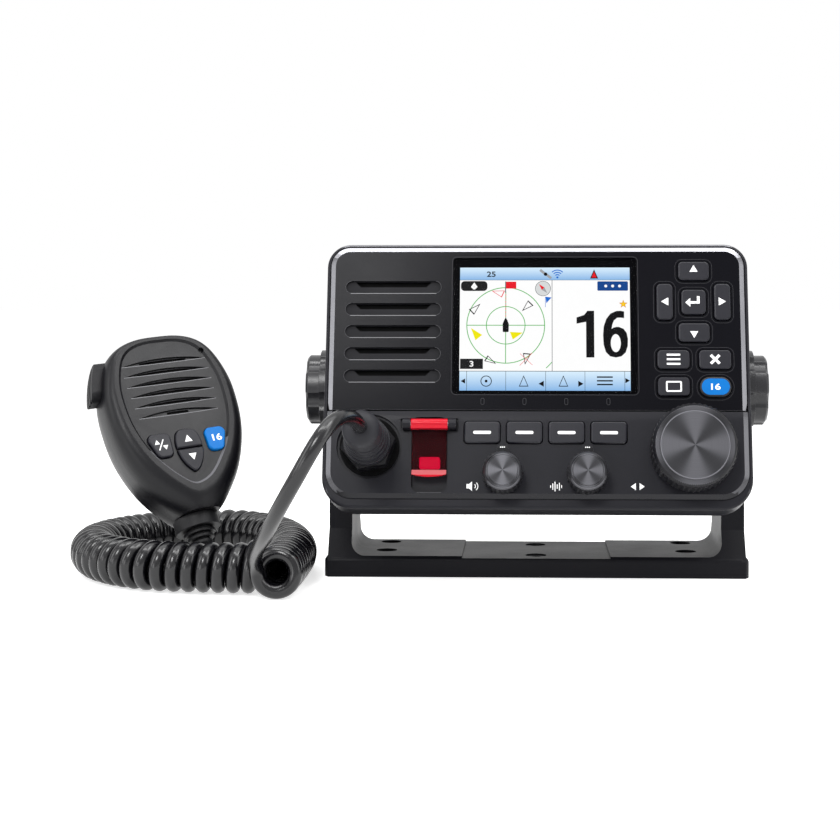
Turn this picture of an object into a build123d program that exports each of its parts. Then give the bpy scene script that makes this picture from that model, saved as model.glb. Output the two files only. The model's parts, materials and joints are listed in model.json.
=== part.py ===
from build123d import *
import math
import os

# Fixed-mount marine VHF radio in its tilting bracket, with a fist microphone on a curly cord.
# Millimetres. Row frame: origin at the centre of the bracket's middle screw pair, on the underside
# of the base; +X to the right seen from the front, +Y to the back, +Z up.
# Radio pieces are drawn upright about the tilt pivot (0, 0, 0) with the front facing -Y and are then
# leant back. Microphone pieces are drawn upright about their neck and are then laid against the cord.

# ---------------------------------------------------------------- bracket
BASE_DEPTH = 56.0
BASE_THICK = 9.0
BASE_EDGE_ROUND = 2.5
BASE_CORNER_ROUND = 4.0
BASE_STEP_HALF = 32.0
BASE_STEP_DEPTH = 0.8
FOOT_LIP = 1.5
ARM_GAP = 160.0
ARM_THICK = 10.0
ARM_TOP_RADIUS = 17.0
ARM_WAIST_Z = 20.0
ARM_WAIST_HALF = 19.5
ARM_FOOT_Z = 7.0
INNER_CORNER_ROUND = 6.0
PIVOT_Z = 79.5
LEAN_BACK = 15.0
SCREW_HOLE_R = 2.4
SCREW_SINK_R = 4.6
SCREW_SINK_DEPTH = 1.5
OVERSHOOT = 1.0
CORNER_SPACING_X = 131.5
CORNER_SPACING_Y = 27.0
CORNER_OFFSET_Y = 5.0
CENTRE_SPACING_Y = 33.0

# ---------------------------------------------------------------- clamp knobs
CLAMP_R = 17.5
CLAMP_THICK = 11.0
CLAMP_STEP = 5.0
CLAMP_STEP_IN = 2.2
CLAMP_LOBES = 6
CLAMP_CHAMFER = 1.0
CLAMP_SCALLOP_R = 6.0
CLAMP_SCALLOP_OUT = 3.7
CROWN_SCALLOP_OUT = 2.5
STUD_R = 3.0
STUD_LENGTH = 20.0
STUD_FIT = 0.06
STUD_CLEARANCE = 0.3
WASHER_R = 14.0

# ---------------------------------------------------------------- front case
CASE_WIDTH = 178.0
CASE_TOP = 53.7
CASE_BOTTOM = -60.3
CASE_TOP_CORNER = 10.0
CASE_BOTTOM_CORNER = 13.0
CASE_BACK = -31.0
RIM_FRONT = -45.4
CHIN_FRONT = -47.4
CHIN_START_Z = -12.0
CHIN_FULL_Z = -24.0
RIM_ROUND = 1.4
CASE_WALL = 3.0
LEDGE = 2.4
POCKET_FIT = 0.15
LOWER_PANEL_RISE = 1.2
LOWER_PANEL_TOP = -19.4
LOWER_PANEL_BOTTOM = -56.0
LOWER_PANEL_WIDTH = 174.6
LOWER_PANEL_CORNER = 11.3
LOWER_PANEL_CHAMFER = 1.1
LOWER_PANEL_BAND = 2.0
PANEL_GAP = 0.4
GROOVE_DEPTH = 0.6
CHIN_WALL = 3.2
HOLLOW_CORNER = 4.0
BACK_LIP = 2.0

# ---------------------------------------------------------------- upper panel and screen
PANEL_WIDTH = 174.6
PANEL_TOP = 52.0
PANEL_BOTTOM = -18.6
PANEL_CORNER = 8.2
PANEL_FRONT = -46.6
PANEL_THICK = 3.0
PANEL_CHAMFER = 1.1
PANEL_BAND = 2.0
WINDOW_X = 3.4
WINDOW_Z = 17.8
LCD_WIDTH = 71.9
LCD_HEIGHT = 53.6
LCD_DROP = 1.2
LCD_FRAME = 3.2
LCD_CORNER = 1.0
LCD_DEPTH = 5.5
LCD_FIT = 0.1
WINDOW_SIDE_BORDER = 2.75
WINDOW_END_BORDER = 2.6
WINDOW_WIDTH = LCD_WIDTH + 2 * WINDOW_SIDE_BORDER
WINDOW_HEIGHT = LCD_HEIGHT + 2 * WINDOW_END_BORDER
WINDOW_CORNER = 1.5
WINDOW_THICK = 1.5
WINDOW_PROUD = 0.3
WINDOW_EDGE = 0.25
WINDOW_FIT = 0.1

# ---------------------------------------------------------------- loudspeaker and its slots
SLOT_X = -60.6
SLOT_TOP_Z = 34.4
SLOT_PITCH = 9.61
SLOT_COUNT = 5
SLOT_LENGTH = 40.3
SLOT_HEIGHT = 5.2
SLOT_SINK = 1.1
VENT_LENGTH = 32.0
VENT_HEIGHT = 2.1
VENT_RAISE = 1.3
SPEAKER_CONE_R = 20.5
SPEAKER_MAGNET_R = 13.0
SPEAKER_CONE_DEPTH = 10.0
SPEAKER_MAGNET_DEPTH = 9.0
SPEAKER_GASKET = 1.0
SPEAKER_GASKET_CORNER = 3.0
SPEAKER_RIM = 2.0

# ---------------------------------------------------------------- keys
KEY_FIT = 0.3
KEY_PROUD = 1.0
KEY_FLANGE = 0.6
KEY_FLANGE_THICK = 1.2
KEY_FLANGE_GAP = 0.25
KEY_EDGE = 0.45
END_GAP = 0.2
# name: centre x, centre z, width, height, corner radius
PANEL_KEYS = {
    "key_up": (66.0, 41.3, 13.2, 8.2, 2.0),
    "key_left": (53.7, 27.9, 7.0, 15.8, 2.0),
    "key_enter": (65.8, 27.8, 10.5, 10.9, 2.0),
    "key_right": (77.8, 27.9, 7.1, 15.8, 2.0),
    "key_down": (65.8, 14.6, 13.2, 8.2, 2.0),
    "key_menu": (57.0, 3.0, 13.6, 8.3, 2.0),
    "key_clear": (74.3, 3.0, 13.6, 8.3, 2.0),
    "key_display": (57.0, -8.6, 13.4, 8.2, 2.0),
    "key_sixteen": (74.3, -8.7, 13.2, 8.7, 4.2),
}
SOFT_KEY_X = (-22.6, -5.1, 12.3, 29.8)
SOFT_KEY_Z = -28.5
SOFT_KEY_WIDTH = 14.9
SOFT_KEY_HEIGHT = 9.3
SOFT_KEY_CORNER = 1.6

# ---------------------------------------------------------------- knobs
CHANNEL_X = 63.9
CHANNEL_Z = -36.0
CHANNEL_R = 17.6
CHANNEL_BEVEL_R = 16.6
CHANNEL_DISC_R = 14.3
CHANNEL_DEPTH = 12.6
CHANNEL_GAP = 2.0
CHANNEL_RIBS = 48
CHANNEL_PUSH = 1.2
LEVEL_X = (-14.0, 20.7)
LEVEL_Z = -46.3
LEVEL_R = 8.4
LEVEL_BEVEL_R = 7.2
LEVEL_DISC_R = 6.2
LEVEL_DEPTH = 12.4
LEVEL_GAP = 0.7
LEVEL_RIBS = 24
POINTER_REACH = 11.0
POINTER_WIDTH = 5.6
POINTER_TOP_WIDTH = 4.0
POINTER_DEPTH = 7.0
POINTER_ROOT = 1.5
RIB_SINK = 0.45
DISC_THICK = 0.8
DISC_PROUD = 0.35
DISC_EDGE = 0.2
DISC_FIT = 0.05
KNOB_NOSE = 0.6
KNOB_WALL = 3.2
BEVEL_SLOPE = 1.6
SHAFT_R = 3.0
SHAFT_FIT = 0.06
BUSH_R = 4.5
BUSH_REACH = 3.5
BUSH_END_GAP = 2.0
BUSH_SIDE_GAP = 0.6
LEVEL_SHAFT_END = 2.0
PLUNGER_R = 2.3
PLUNGER_START = 0.6

# ---------------------------------------------------------------- distress switch
DISTRESS_X = -44.4
DISTRESS_TOP = -22.0
DISTRESS_BOTTOM = -53.5
DISTRESS_WIDTH = 14.8
DISTRESS_CORNER = 3.0
DISTRESS_SINK = 3.0
HINGE_Z = -25.3
HINGE_PROUD = 2.4
HINGE_PIN_R = 1.0
HINGE_FIT = 0.06
HINGE_BARREL_R = 2.2
HINGE_HALF = 11.0
HINGE_LUG = 3.2
LUG_ROOT = 2.0
NOTCH_GAP = 1.0
NOTCH_SINK = 1.2
NOTCH_CORNER = 0.8
BARREL_EASE = 0.1
COVER_WIDTH = 14.3
COVER_BOTTOM = -47.5
COVER_THICK = 1.4
COVER_BACK_GAP = 0.35
COVER_LIP = 1.2
COVER_SIDE_GAP = 0.2
COVER_TOP = 1.0
COVER_BOW = 1.0
WEB_DROP = 1.6
LIP_START = 3.0
LIP_FLAT = 0.8
LIP_INNER = 2.4
BUTTON_WIDTH = 8.5
BUTTON_HEIGHT = 4.8
BUTTON_Z = -40.9
BUTTON_PROUD = 1.6
BUTTON_CORNER = 0.8

# ---------------------------------------------------------------- microphone plug
PLUG_X = -69.4
PLUG_Z = -34.4
PLUG_RECESS_R = 13.6
PLUG_RECESS_DEPTH = 1.8
SOCKET_FLANGE_R = 12.4
SOCKET_BARREL_R = 8.4
SOCKET_BARREL_REACH = 7.0
SOCKET_FLANGE = 1.0
SOCKET_TAIL = 2.0
NUT_ACROSS_CORNERS = 22.9
NUT_LENGTH = 9.0
NUT_GAP = 0.4
NUT_FIT = 0.1
NUT_BEVEL = 1.6
NUT_EDGE = 0.2
NUT_TURN = 10.0
BOOT_LENGTH = 35.0
# Steps of the boot from its nut to its nose: radius, share of the length where it ends
BOOT_STEPS = ((9.6, 0.12), (8.9, 0.28), (8.5, 0.42), (8.1, 0.56), (7.6, 1.0))
BOOT_NOSE_ROUND = 5.6
GROOVE_SHARE = 0.35

# ---------------------------------------------------------------- rear chassis and its fittings
CHASSIS_WIDTH = 157.0
CHASSIS_TOP = 46.0
CHASSIS_BOTTOM = -50.0
CHASSIS_FRONT = -30.0
CHASSIS_BACK = 20.0
CHASSIS_CORNER = 6.0
CHASSIS_WALL = 3.0
CHASSIS_EDGE = 1.5
SEAL_WIDTH = 2.6
BOSS_R = 8.0
BOSS_LENGTH = 9.0
FIN_DEPTH = 9.0
FIN_THICK = 2.6
FIN_PITCH = 7.0
FIN_COUNT = 21
FIN_BOTTOM = -8.0
FIN_TOP = 43.0
BOARD_THICK = 1.6
BOARD_CORNER = 3.5
MAIN_BOARD_FRONT = -19.0
BOARD_SIDE_GAP = 5.5
MAIN_BOARD_WIDTH = CHASSIS_WIDTH - 2 * (CHASSIS_WALL + BOARD_SIDE_GAP)
MAIN_BOARD_CORNER = 2.0
MAIN_BOARD_TOP = 36.0
MAIN_BOARD_BOTTOM = -42.0
POST_R = 3.2
POST_EDGE = 8.0
POST_END = 6.0
KEY_BOARD_FRONT = -40.6
KEY_BOARD_MARGIN = 6.0
BOARD_GAP = 1.0
CONTROL_BODY = 13.0
CONTROL_DEPTH = 5.8
BORE_FLOOR = 0.8
REAR_SCREW_EDGE = 8.5
REAR_SCREW_RISE = 8.0
REAR_SCREW_HEAD_R = 3.4
REAR_SCREW_HEAD = 2.0
COVER_SCREW_X = 28.6
COVER_SCREW_DROP = 5.0
COVER_SCREW_HEAD_R = 2.7
SCREW_CHAMFER = 0.6
CONNECTOR_Z = -30.0
ANTENNA_X = 52.0
ANTENNA_FLANGE = 25.0
ANTENNA_R = 8.0
ANTENNA_LENGTH = 14.0
ANTENNA_WALL = 1.5
ANTENNA_PIN_R = 2.0
FLANGE_THICK = 2.0
FLANGE_CORNER = 2.0
SOCKET_FLOOR = 4.0
PIN_SHORT = 2.0
BNC_X = 24.0
BNC_R = 4.9
BNC_FLANGE = 2.0
BNC_WALL = 1.0
BNC_PIN_R = 1.0
DATA_X = (-8.0, -30.0)
DATA_R = 8.0
DATA_LENGTH = 9.0
DATA_STEP = 1.8
DATA_BORE_STEP = 3.0
DATA_FLOOR = 3.0
GLAND_X = -54.0
GLAND_R = 8.5
GLAND_LENGTH = 12.0
GLAND_NUT = 4.0
GLAND_STEP = 2.0
GLAND_FLOOR = 3.0
GLAND_BORE_R = 3.5
GROUND_X = 70.0
GROUND_Z = -14.0
GROUND_R = 2.0
GROUND_LENGTH = 9.0
GROUND_NUT = 3.0

# ---------------------------------------------------------------- microphone
MIC_NECK_X = -145.8
MIC_NECK_Y = -42.0
MIC_NECK_Z = 30.4
MIC_YAW = 31.5
MIC_LEAN = 27.6
MIC_ROLL = 6.2
MIC_FACE = 16.0
MIC_BACK = 17.0
MIC_SEAM = 1.0
MIC_WALL = 2.6
MIC_CHIN = -4.0
MIC_REACH = 100.0
# Egg outline: (share of the height, share of the half width)
MIC_EGG = (
    (0.0, 0.0),
    (0.042, 0.27),
    (0.135, 0.527),
    (0.222, 0.707),
    (0.314, 0.837),
    (0.407, 0.929),
    (0.497, 0.98),
    (0.599, 1.0),
    (0.695, 0.99),
    (0.778, 0.942),
    (0.862, 0.857),
    (0.916, 0.765),
    (0.958, 0.629),
    (0.984, 0.459),
    (0.998, 0.238),
    (1.0, 0.0),
)
# Sections of the case from front to back: y, half width, top z, bottom z
MIC_FORM = (
    (-16.0, 24.9, 74.3, 3.2),
    (-15.5, 26.6, 74.9, 0.6),
    (-14.2, 28.2, 75.3, -2.5),
    (-12.0, 29.3, 75.6, -5.5),
    (-8.0, 29.8, 75.8, -8.0),
    (-3.0, 29.7, 75.7, -8.0),
    (2.0, 28.9, 74.8, -8.0),
    (7.0, 27.2, 73.0, -7.5),
    (12.0, 24.5, 70.5, -4.0),
    (15.5, 21.0, 66.0, 3.0),
    (17.0, 17.0, 61.0, 9.0),
)
INSERT_HALF = 23.2
INSERT_TOP = 73.2
INSERT_BOTTOM = 6.0
INSERT_SLOPE = 1.0
INSERT_SINK = 0.8
GRILLE_TOP = 62.7
GRILLE_PITCH = 4.84
GRILLE_HALVES = (19.2, 19.4, 19.3, 19.0, 18.6, 18.0)
GRILLE_VENTS = (0.56, 0.74, 0.79, 0.72, 0.64, 0.27)
GRILLE_HEIGHT = 2.3
GRILLE_ARCH = 2.1
GRILLE_SINK = 1.0
VENT_TALL = 1.1
MIC_HOLE_X = 18.2
MIC_HOLE_Z = 66.0
MIC_HOLE_R = 1.2
MIC_KEY_PROUD = 0.6
MIC_KEY_BACK = 4.0
MIC_KEY_FIT = 0.3
MIC_KEY_ROUND = 2.6
MIC_KEY_CORNERS = {
    "mic_power_key": ((-18.6, 30.2), (-7.3, 30.2), (-7.7, 19.3), (-14.4, 19.3)),
    "mic_blue_key": ((8.1, 29.8), (18.6, 29.8), (15.0, 19.3), (8.5, 19.3)),
}
ROCKER_HALF = 5.8
ROCKER_TOP = 30.8
ROCKER_BOTTOM = 11.6
ROCKER_MIDDLE = 22.1
ROCKER_SPLIT = 0.7
TALK_PROUD = 3.8
TALK_IN = 19.0
TALK_LOW = 52.0
TALK_HIGH = 69.5
TALK_Y = -3.0
TALK_HALF_DEPTH = 6.5
TALK_FIT = 0.35
TALK_CORNER = 4.0
TALK_SLOT_PAST = 2.0
TALK_GROOVES = (-6.0, -3.0, 0.0)
TALK_GROOVE_WIDTH = 1.0
TALK_GROOVE_SINK = 0.8
MIC_SPEAKER_R = 14.0
MIC_SPEAKER_Z = 51.0
MIC_SPEAKER_DEPTH = 7.0
MIC_BOARD_FRONT = -2.6
MIC_BOARD_Z = 44.0
MIC_BOARD_WIDTH = 30.0
MIC_BOARD_HEIGHT = 48.0
MIC_BOARD_CORNER = 2.0
MIC_POST_SPREAD = 8.0
MIC_POST_R = 2.2
RELIEF_LENGTH = 17.0
RELIEF_COLLAR_R = 9.7
RELIEF_TIP_R = 4.6
RELIEF_RIBS = 3
RELIEF_COLLAR = 5.6
RELIEF_NOSE = 1.0
RELIEF_GROOVE = 0.8
RELIEF_STEP = 1.6
RELIEF_TIP_STEP = 0.6
STUD_Z = 38.0
HANGER_R = 3.0
HANGER_HEAD_R = 7.5
HANGER_STEM = 3.2
HANGER_HEAD = 2.4
MIC_SCREW_R = 2.4
MIC_SCREW_HEAD = 0.8
MIC_SCREWS = ((-11.0, 52.0), (11.0, 52.0), (-7.0, 20.0), (7.0, 20.0))

# ---------------------------------------------------------------- cord
CORD_D = 6.0
COIL_D = 21.0
LEAD_STRAIGHT = 19.0
LEAD_ROUTE = (
    (-74.5, -134.0, 76.5),
    (-80.0, -145.0, 69.0),
    (-86.0, -147.5, 55.0),
    (-93.0, -138.0, 38.0),
    (-101.0, -119.0, 22.0),
    (-111.0, -100.0, 9.5),
    (-111.0, -84.0, 9.5),
)
COIL_ROUTE = (
    (-104.0, -84.0, 10.5),
    (-103.5, -47.0, 10.5),
    (-106.0, -15.0, 10.5),
    (-116.5, 17.0, 10.5),
    (-137.0, 40.0, 10.5),
    (-163.0, 41.0, 10.5),
    (-185.0, 20.0, 10.5),
    (-195.0, -10.0, 10.5),
    (-189.0, -40.0, 10.5),
    (-170.0, -62.0, 10.5),
    (-147.0, -71.5, 10.5),
    (-126.5, -69.5, 10.5),
)
TAIL_STRAIGHT = 6.0
TAIL_END = (-131.5, -62.5, 6.5)

LEAN = Location((0, 0, PIVOT_Z), (-LEAN_BACK, 0, 0))
ARM_INNER = ARM_GAP / 2
ARM_OUTER = ARM_INNER + ARM_THICK
PANEL_BACK = PANEL_FRONT + PANEL_THICK
LOWER_FRONT = CHIN_FRONT - LOWER_PANEL_RISE
LOWER_BACK = CHIN_FRONT + CHIN_WALL
WINDOW_FRONT = PANEL_FRONT - WINDOW_PROUD
CONTROL_FRONT = KEY_BOARD_FRONT + BOARD_THICK
CONTROL_BACK = CONTROL_FRONT + CONTROL_DEPTH
BORE_END = CONTROL_BACK - BORE_FLOOR
PLUNGER_FRONT = CONTROL_FRONT + PLUNGER_START
PLUNGER_BACK = BORE_END - CHANNEL_PUSH - END_GAP
LCD_X = WINDOW_X
LCD_Z = WINDOW_Z - LCD_DROP
POST_X = MAIN_BOARD_WIDTH / 2 - POST_EDGE
POST_Z = (MAIN_BOARD_BOTTOM + POST_END, MAIN_BOARD_TOP - POST_END)
REAR_SCREW_X = CHASSIS_WIDTH / 2 - REAR_SCREW_EDGE


def slab(profile, front, back, taper=0):
    """Extrude an (x, z) profile from y = back forward to y = front."""
    plane = Plane(origin=(0, back, 0), x_dir=(1, 0, 0), z_dir=(0, -1, 0))
    return extrude(plane * profile, back - front, taper=taper)


def side_slab(profile, low, high):
    """Extrude a (y, z) profile from x = low to x = high."""
    return extrude(Plane.YZ.offset(low) * profile, high - low)


def rod(x, z, radius, front, back):
    """A round bar along y."""
    return slab(Pos(x, z) * Circle(radius), front, back)


def rounded(x, z, width, height, radius):
    return Pos(x, z) * RectangleRounded(width, height, radius)


def plate_between(half, bottom, top, radius):
    return rounded(0, (bottom + top) / 2, 2 * half, top - bottom, radius)


def key_hole(x, z, width, height, radius):
    """The outline of a hole that a key or button slides in."""
    return rounded(x, z, width + 2 * KEY_FIT, height + 2 * KEY_FIT, radius + KEY_FIT)


def turned(points, x, z):
    """Revolve (radius, y) points about the y-parallel axis through (x, z)."""
    profile = make_face(Plane.XY * Polyline(*points, close=True))
    return Pos(x, 0, z) * revolve(profile, Axis.Y)


def front_edges(part, y):
    return part.edges().filter_by(lambda edge: abs(edge.center().Y - y) < 0.01)


# ---------------------------------------------------------------- bracket pieces
def make_bracket():
    top = PIVOT_Z + ARM_TOP_RADIUS
    outer = Pos(0, top / 2) * Rectangle(2 * ARM_OUTER, top)
    gap_height = 2 * (top - BASE_THICK)
    gap = Pos(0, top) * RectangleRounded(ARM_GAP, gap_height, INNER_CORNER_ROUND)
    frame = slab(outer - gap, -BASE_DEPTH / 2, BASE_DEPTH / 2)
    half = BASE_DEPTH / 2
    arm = make_face(Polyline(
        (-half, 0),
        (half, 0),
        (half, ARM_FOOT_Z),
        (ARM_WAIST_HALF, ARM_WAIST_Z),
        (ARM_TOP_RADIUS, PIVOT_Z),
        (-ARM_TOP_RADIUS, PIVOT_Z),
        (-ARM_WAIST_HALF, ARM_WAIST_Z),
        (-half, ARM_FOOT_Z),
        close=True,
    ))
    side = arm + Pos(0, PIVOT_Z) * Circle(ARM_TOP_RADIUS)
    frame = frame & side_slab(side, -ARM_OUTER, ARM_OUTER)
    base_width = 2 * (ARM_OUTER + FOOT_LIP)
    base = extrude(RectangleRounded(base_width, BASE_DEPTH, BASE_CORNER_ROUND), BASE_THICK)
    base = fillet(base.edges().group_by(Axis.Z)[-1], BASE_EDGE_ROUND)
    bracket = frame + base
    step = Pos(0, 0, BASE_THICK) * Box(2 * BASE_STEP_HALF, 2 * BASE_DEPTH, 2 * BASE_STEP_DEPTH)
    bracket -= step
    for x, y in screw_places():
        bracket -= Pos(x, y, 0) * Cylinder(SCREW_HOLE_R, 4 * BASE_THICK)
        bracket -= Pos(x, y, BASE_THICK) * Cylinder(SCREW_SINK_R, 2 * SCREW_SINK_DEPTH)
    stud_hole = Circle(STUD_R + STUD_CLEARANCE)
    return bracket - side_slab(Pos(0, PIVOT_Z) * stud_hole, -2 * ARM_OUTER, 2 * ARM_OUTER)


def screw_places():
    half_x = CORNER_SPACING_X / 2
    half_y = CORNER_SPACING_Y / 2
    corners = [(sx * half_x, CORNER_OFFSET_Y + sy * half_y) for sx in (-1, 1) for sy in (-1, 1)]
    return corners + [(0, -CENTRE_SPACING_Y / 2), (0, CENTRE_SPACING_Y / 2)]


def make_clamp_knob(side):
    outline = Circle(CLAMP_R)
    upper = Circle(CLAMP_R - CLAMP_STEP_IN)
    for index in range(CLAMP_LOBES):
        angle = 360 * (index + 0.5) / CLAMP_LOBES
        outline -= Rot(0, 0, angle) * Pos(CLAMP_R + CLAMP_SCALLOP_OUT, 0) * Circle(CLAMP_SCALLOP_R)
        upper -= Rot(0, 0, angle) * Pos(CLAMP_R + CROWN_SCALLOP_OUT, 0) * Circle(CLAMP_SCALLOP_R)
    knob = side_slab(outline, ARM_OUTER, ARM_OUTER + CLAMP_STEP)
    crown = side_slab(upper, ARM_OUTER + CLAMP_STEP, ARM_OUTER + CLAMP_THICK)
    crown = chamfer(crown.edges().group_by(Axis.X)[-1], CLAMP_CHAMFER)
    knob = knob + crown
    knob += side_slab(Circle(STUD_R), ARM_OUTER - STUD_LENGTH, ARM_OUTER + OVERSHOOT)
    if side < 0:
        knob = mirror(knob, about=Plane.YZ)
    return LEAN * knob


def make_friction_washers():
    ring = Circle(WASHER_R) - Circle(STUD_R + STUD_CLEARANCE)
    right = side_slab(ring, CHASSIS_WIDTH / 2, ARM_INNER)
    return LEAN * Compound([right, mirror(right, about=Plane.YZ)])


# ---------------------------------------------------------------- front case
def case_outline():
    height = CASE_TOP - CASE_BOTTOM
    sheet = Pos(0, (CASE_TOP + CASE_BOTTOM) / 2) * Rectangle(CASE_WIDTH, height)
    corners = sheet.vertices().sort_by(Axis.Y)
    sheet = fillet(corners[2:], CASE_TOP_CORNER)
    corners = sheet.vertices().sort_by(Axis.Y)
    return fillet(corners[:2], CASE_BOTTOM_CORNER)


def case_side():
    swell = Spline((RIM_FRONT, CHIN_START_Z), (CHIN_FRONT, CHIN_FULL_Z), tangents=[(0, -1), (0, -1)])
    straight = Polyline(
        (CHIN_FRONT, CHIN_FULL_Z),
        (CHIN_FRONT, CASE_BOTTOM),
        (CASE_BACK, CASE_BOTTOM),
        (CASE_BACK, CASE_TOP),
        (RIM_FRONT, CASE_TOP),
        (RIM_FRONT, CHIN_START_Z),
    )
    return make_face(swell.edges() + straight.edges())


def panel_outline(fit):
    low = PANEL_BOTTOM - fit
    high = PANEL_TOP + fit
    sheet = Pos(0, (low + high) / 2) * Rectangle(PANEL_WIDTH + 2 * fit, high - low)
    top_corners = sheet.vertices().sort_by(Axis.Y)[2:]
    return fillet(top_corners, PANEL_CORNER + fit)


def is_outline_edge(edge):
    """True for the edges between the front and the outer wall of the case."""
    middle = edge.center()
    on_side = abs(middle.X) > CASE_WIDTH / 2 - CASE_BOTTOM_CORNER
    on_end = middle.Z > CASE_TOP - 1 or middle.Z < CASE_BOTTOM + 1
    return middle.Y < RIM_FRONT + 0.5 and (on_side or on_end) and edge.bounding_box().size.Y < CASE_WALL + 1


def lower_panel_outline():
    height = LOWER_PANEL_TOP - LOWER_PANEL_BOTTOM
    sheet = Pos(0, (LOWER_PANEL_TOP + LOWER_PANEL_BOTTOM) / 2) * Rectangle(LOWER_PANEL_WIDTH, height)
    low_corners = sheet.vertices().sort_by(Axis.Y)[:2]
    return fillet(low_corners, LOWER_PANEL_CORNER)


def make_front_case():
    case = slab(case_outline(), CHIN_FRONT, CASE_BACK) & side_slab(case_side(), -CASE_WIDTH, CASE_WIDTH)
    case = fillet(case.edges().filter_by(is_outline_edge), RIM_ROUND)
    outline = lower_panel_outline()
    groove = slab(offset(outline, PANEL_GAP) - outline, LOWER_FRONT, CASE_BACK)
    below_groove = side_slab(Pos(GROOVE_DEPTH, 0) * case_side(), -CASE_WIDTH, CASE_WIDTH)
    case -= groove - below_groove
    case += make_raised_panel()
    case -= slab(panel_outline(PANEL_GAP), CHIN_FRONT - 2, PANEL_BACK)
    half = PANEL_WIDTH / 2 - LEDGE
    top = PANEL_TOP - LEDGE
    back_wall = CASE_BACK - BACK_LIP
    upper_hollow = plate_between(half, PANEL_BOTTOM + LEDGE, top, HOLLOW_CORNER)
    case -= slab(upper_hollow, PANEL_BACK - OVERSHOOT, back_wall)
    case -= slab(plate_between(half, CASE_BOTTOM + 2 * CASE_WALL, top, HOLLOW_CORNER), LOWER_BACK, back_wall)
    rear_half = CHASSIS_WIDTH / 2 - CHASSIS_WALL
    rear = plate_between(rear_half, CHASSIS_BOTTOM + CHASSIS_WALL, CHASSIS_TOP - CHASSIS_WALL, CASE_WALL)
    case -= slab(rear, back_wall - 1, CASE_BACK + 1)
    for x in SOFT_KEY_X:
        hole = key_hole(x, SOFT_KEY_Z, SOFT_KEY_WIDTH, SOFT_KEY_HEIGHT, SOFT_KEY_CORNER)
        case -= slab(hole, LOWER_FRONT - 1, LOWER_BACK + 1)
    case -= rod(CHANNEL_X, CHANNEL_Z, BUSH_R + POCKET_FIT, LOWER_FRONT - 1, LOWER_BACK + 1)
    for x in LEVEL_X:
        case -= rod(x, LEVEL_Z, BUSH_R + POCKET_FIT, LOWER_FRONT - 1, LOWER_BACK + 1)
    case -= rod(PLUG_X, PLUG_Z, PLUG_RECESS_R, LOWER_FRONT - 1, LOWER_FRONT + PLUG_RECESS_DEPTH)
    case -= rod(PLUG_X, PLUG_Z, SOCKET_BARREL_R + POCKET_FIT, LOWER_FRONT, LOWER_BACK + 1)
    recess_z = (DISTRESS_TOP + DISTRESS_BOTTOM) / 2
    recess = rounded(DISTRESS_X, recess_z, DISTRESS_WIDTH, DISTRESS_TOP - DISTRESS_BOTTOM, DISTRESS_CORNER)
    case -= slab(recess, LOWER_FRONT - 1, LOWER_FRONT + DISTRESS_SINK)
    notch_width = 2 * (HINGE_HALF + NOTCH_GAP)
    notch = rounded(DISTRESS_X, HINGE_Z, notch_width, 2 * HINGE_BARREL_R + NOTCH_SINK, NOTCH_CORNER)
    case -= slab(notch, LOWER_FRONT - 1, LOWER_FRONT + NOTCH_SINK)
    button_hole = key_hole(DISTRESS_X, BUTTON_Z, BUTTON_WIDTH, BUTTON_HEIGHT, BUTTON_CORNER)
    case -= slab(button_hole, LOWER_FRONT, LOWER_BACK + 1)
    for end in (-1, 1):
        case += hinge_lug(end)
    return LEAN * case


def raised_side():
    """Side view of the raised control panel, which follows the swell of the chin."""
    swell = Spline((RIM_FRONT, CHIN_START_Z), (CHIN_FRONT, CHIN_FULL_Z), tangents=[(0, -1), (0, -1)])
    straight = Polyline(
        (CHIN_FRONT, CHIN_FULL_Z),
        (CHIN_FRONT, CASE_BOTTOM),
        (CASE_BACK, CASE_BOTTOM),
        (CASE_BACK, CHIN_START_Z),
        (RIM_FRONT, CHIN_START_Z),
    )
    return Pos(-LOWER_PANEL_RISE, 0) * make_face(swell.edges() + straight.edges())


def make_raised_panel():
    """The raised control panel with the sloping band along its sides and its lower edge."""
    raised = side_slab(raised_side(), -CASE_WIDTH, CASE_WIDTH)
    raised = raised & slab(lower_panel_outline(), LOWER_FRONT - 1, RIM_FRONT + 1)
    face = raised.faces().sort_by(Axis.Y)[0]
    rim = [edge for edge in face.edges() if edge.center().Z < CHIN_FULL_Z - 1]
    return chamfer(rim, LOWER_PANEL_BAND, LOWER_PANEL_CHAMFER, reference=face)


def hinge_lug(end):
    """One of the two ears that hold the pin of the distress cover."""
    far = DISTRESS_X + end * HINGE_HALF
    near = DISTRESS_X + end * (HINGE_HALF - HINGE_LUG)
    y = hinge_y()
    ear = Pos(y, HINGE_Z) * Circle(HINGE_BARREL_R)
    root = LOWER_FRONT + LUG_ROOT
    ear += Pos((y + root) / 2, HINGE_Z) * Rectangle(root - y, 2 * HINGE_BARREL_R)
    ear -= Pos(y, HINGE_Z) * Circle(HINGE_PIN_R + HINGE_FIT)
    return side_slab(ear, min(far, near), max(far, near))


def hinge_y():
    return LOWER_FRONT - HINGE_PROUD


def make_case_seal():
    half = CHASSIS_WIDTH / 2
    low = CHASSIS_BOTTOM + SEAL_WIDTH
    high = CHASSIS_TOP - SEAL_WIDTH
    outer = plate_between(half, CHASSIS_BOTTOM, CHASSIS_TOP, CHASSIS_CORNER)
    inner = plate_between(half - SEAL_WIDTH, low, high, CHASSIS_CORNER - SEAL_WIDTH)
    return LEAN * slab(outer - inner, CASE_BACK, CHASSIS_FRONT)


# ---------------------------------------------------------------- upper panel, screen, loudspeaker
def slot_heights():
    return [SLOT_TOP_Z - index * SLOT_PITCH for index in range(SLOT_COUNT)]


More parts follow.
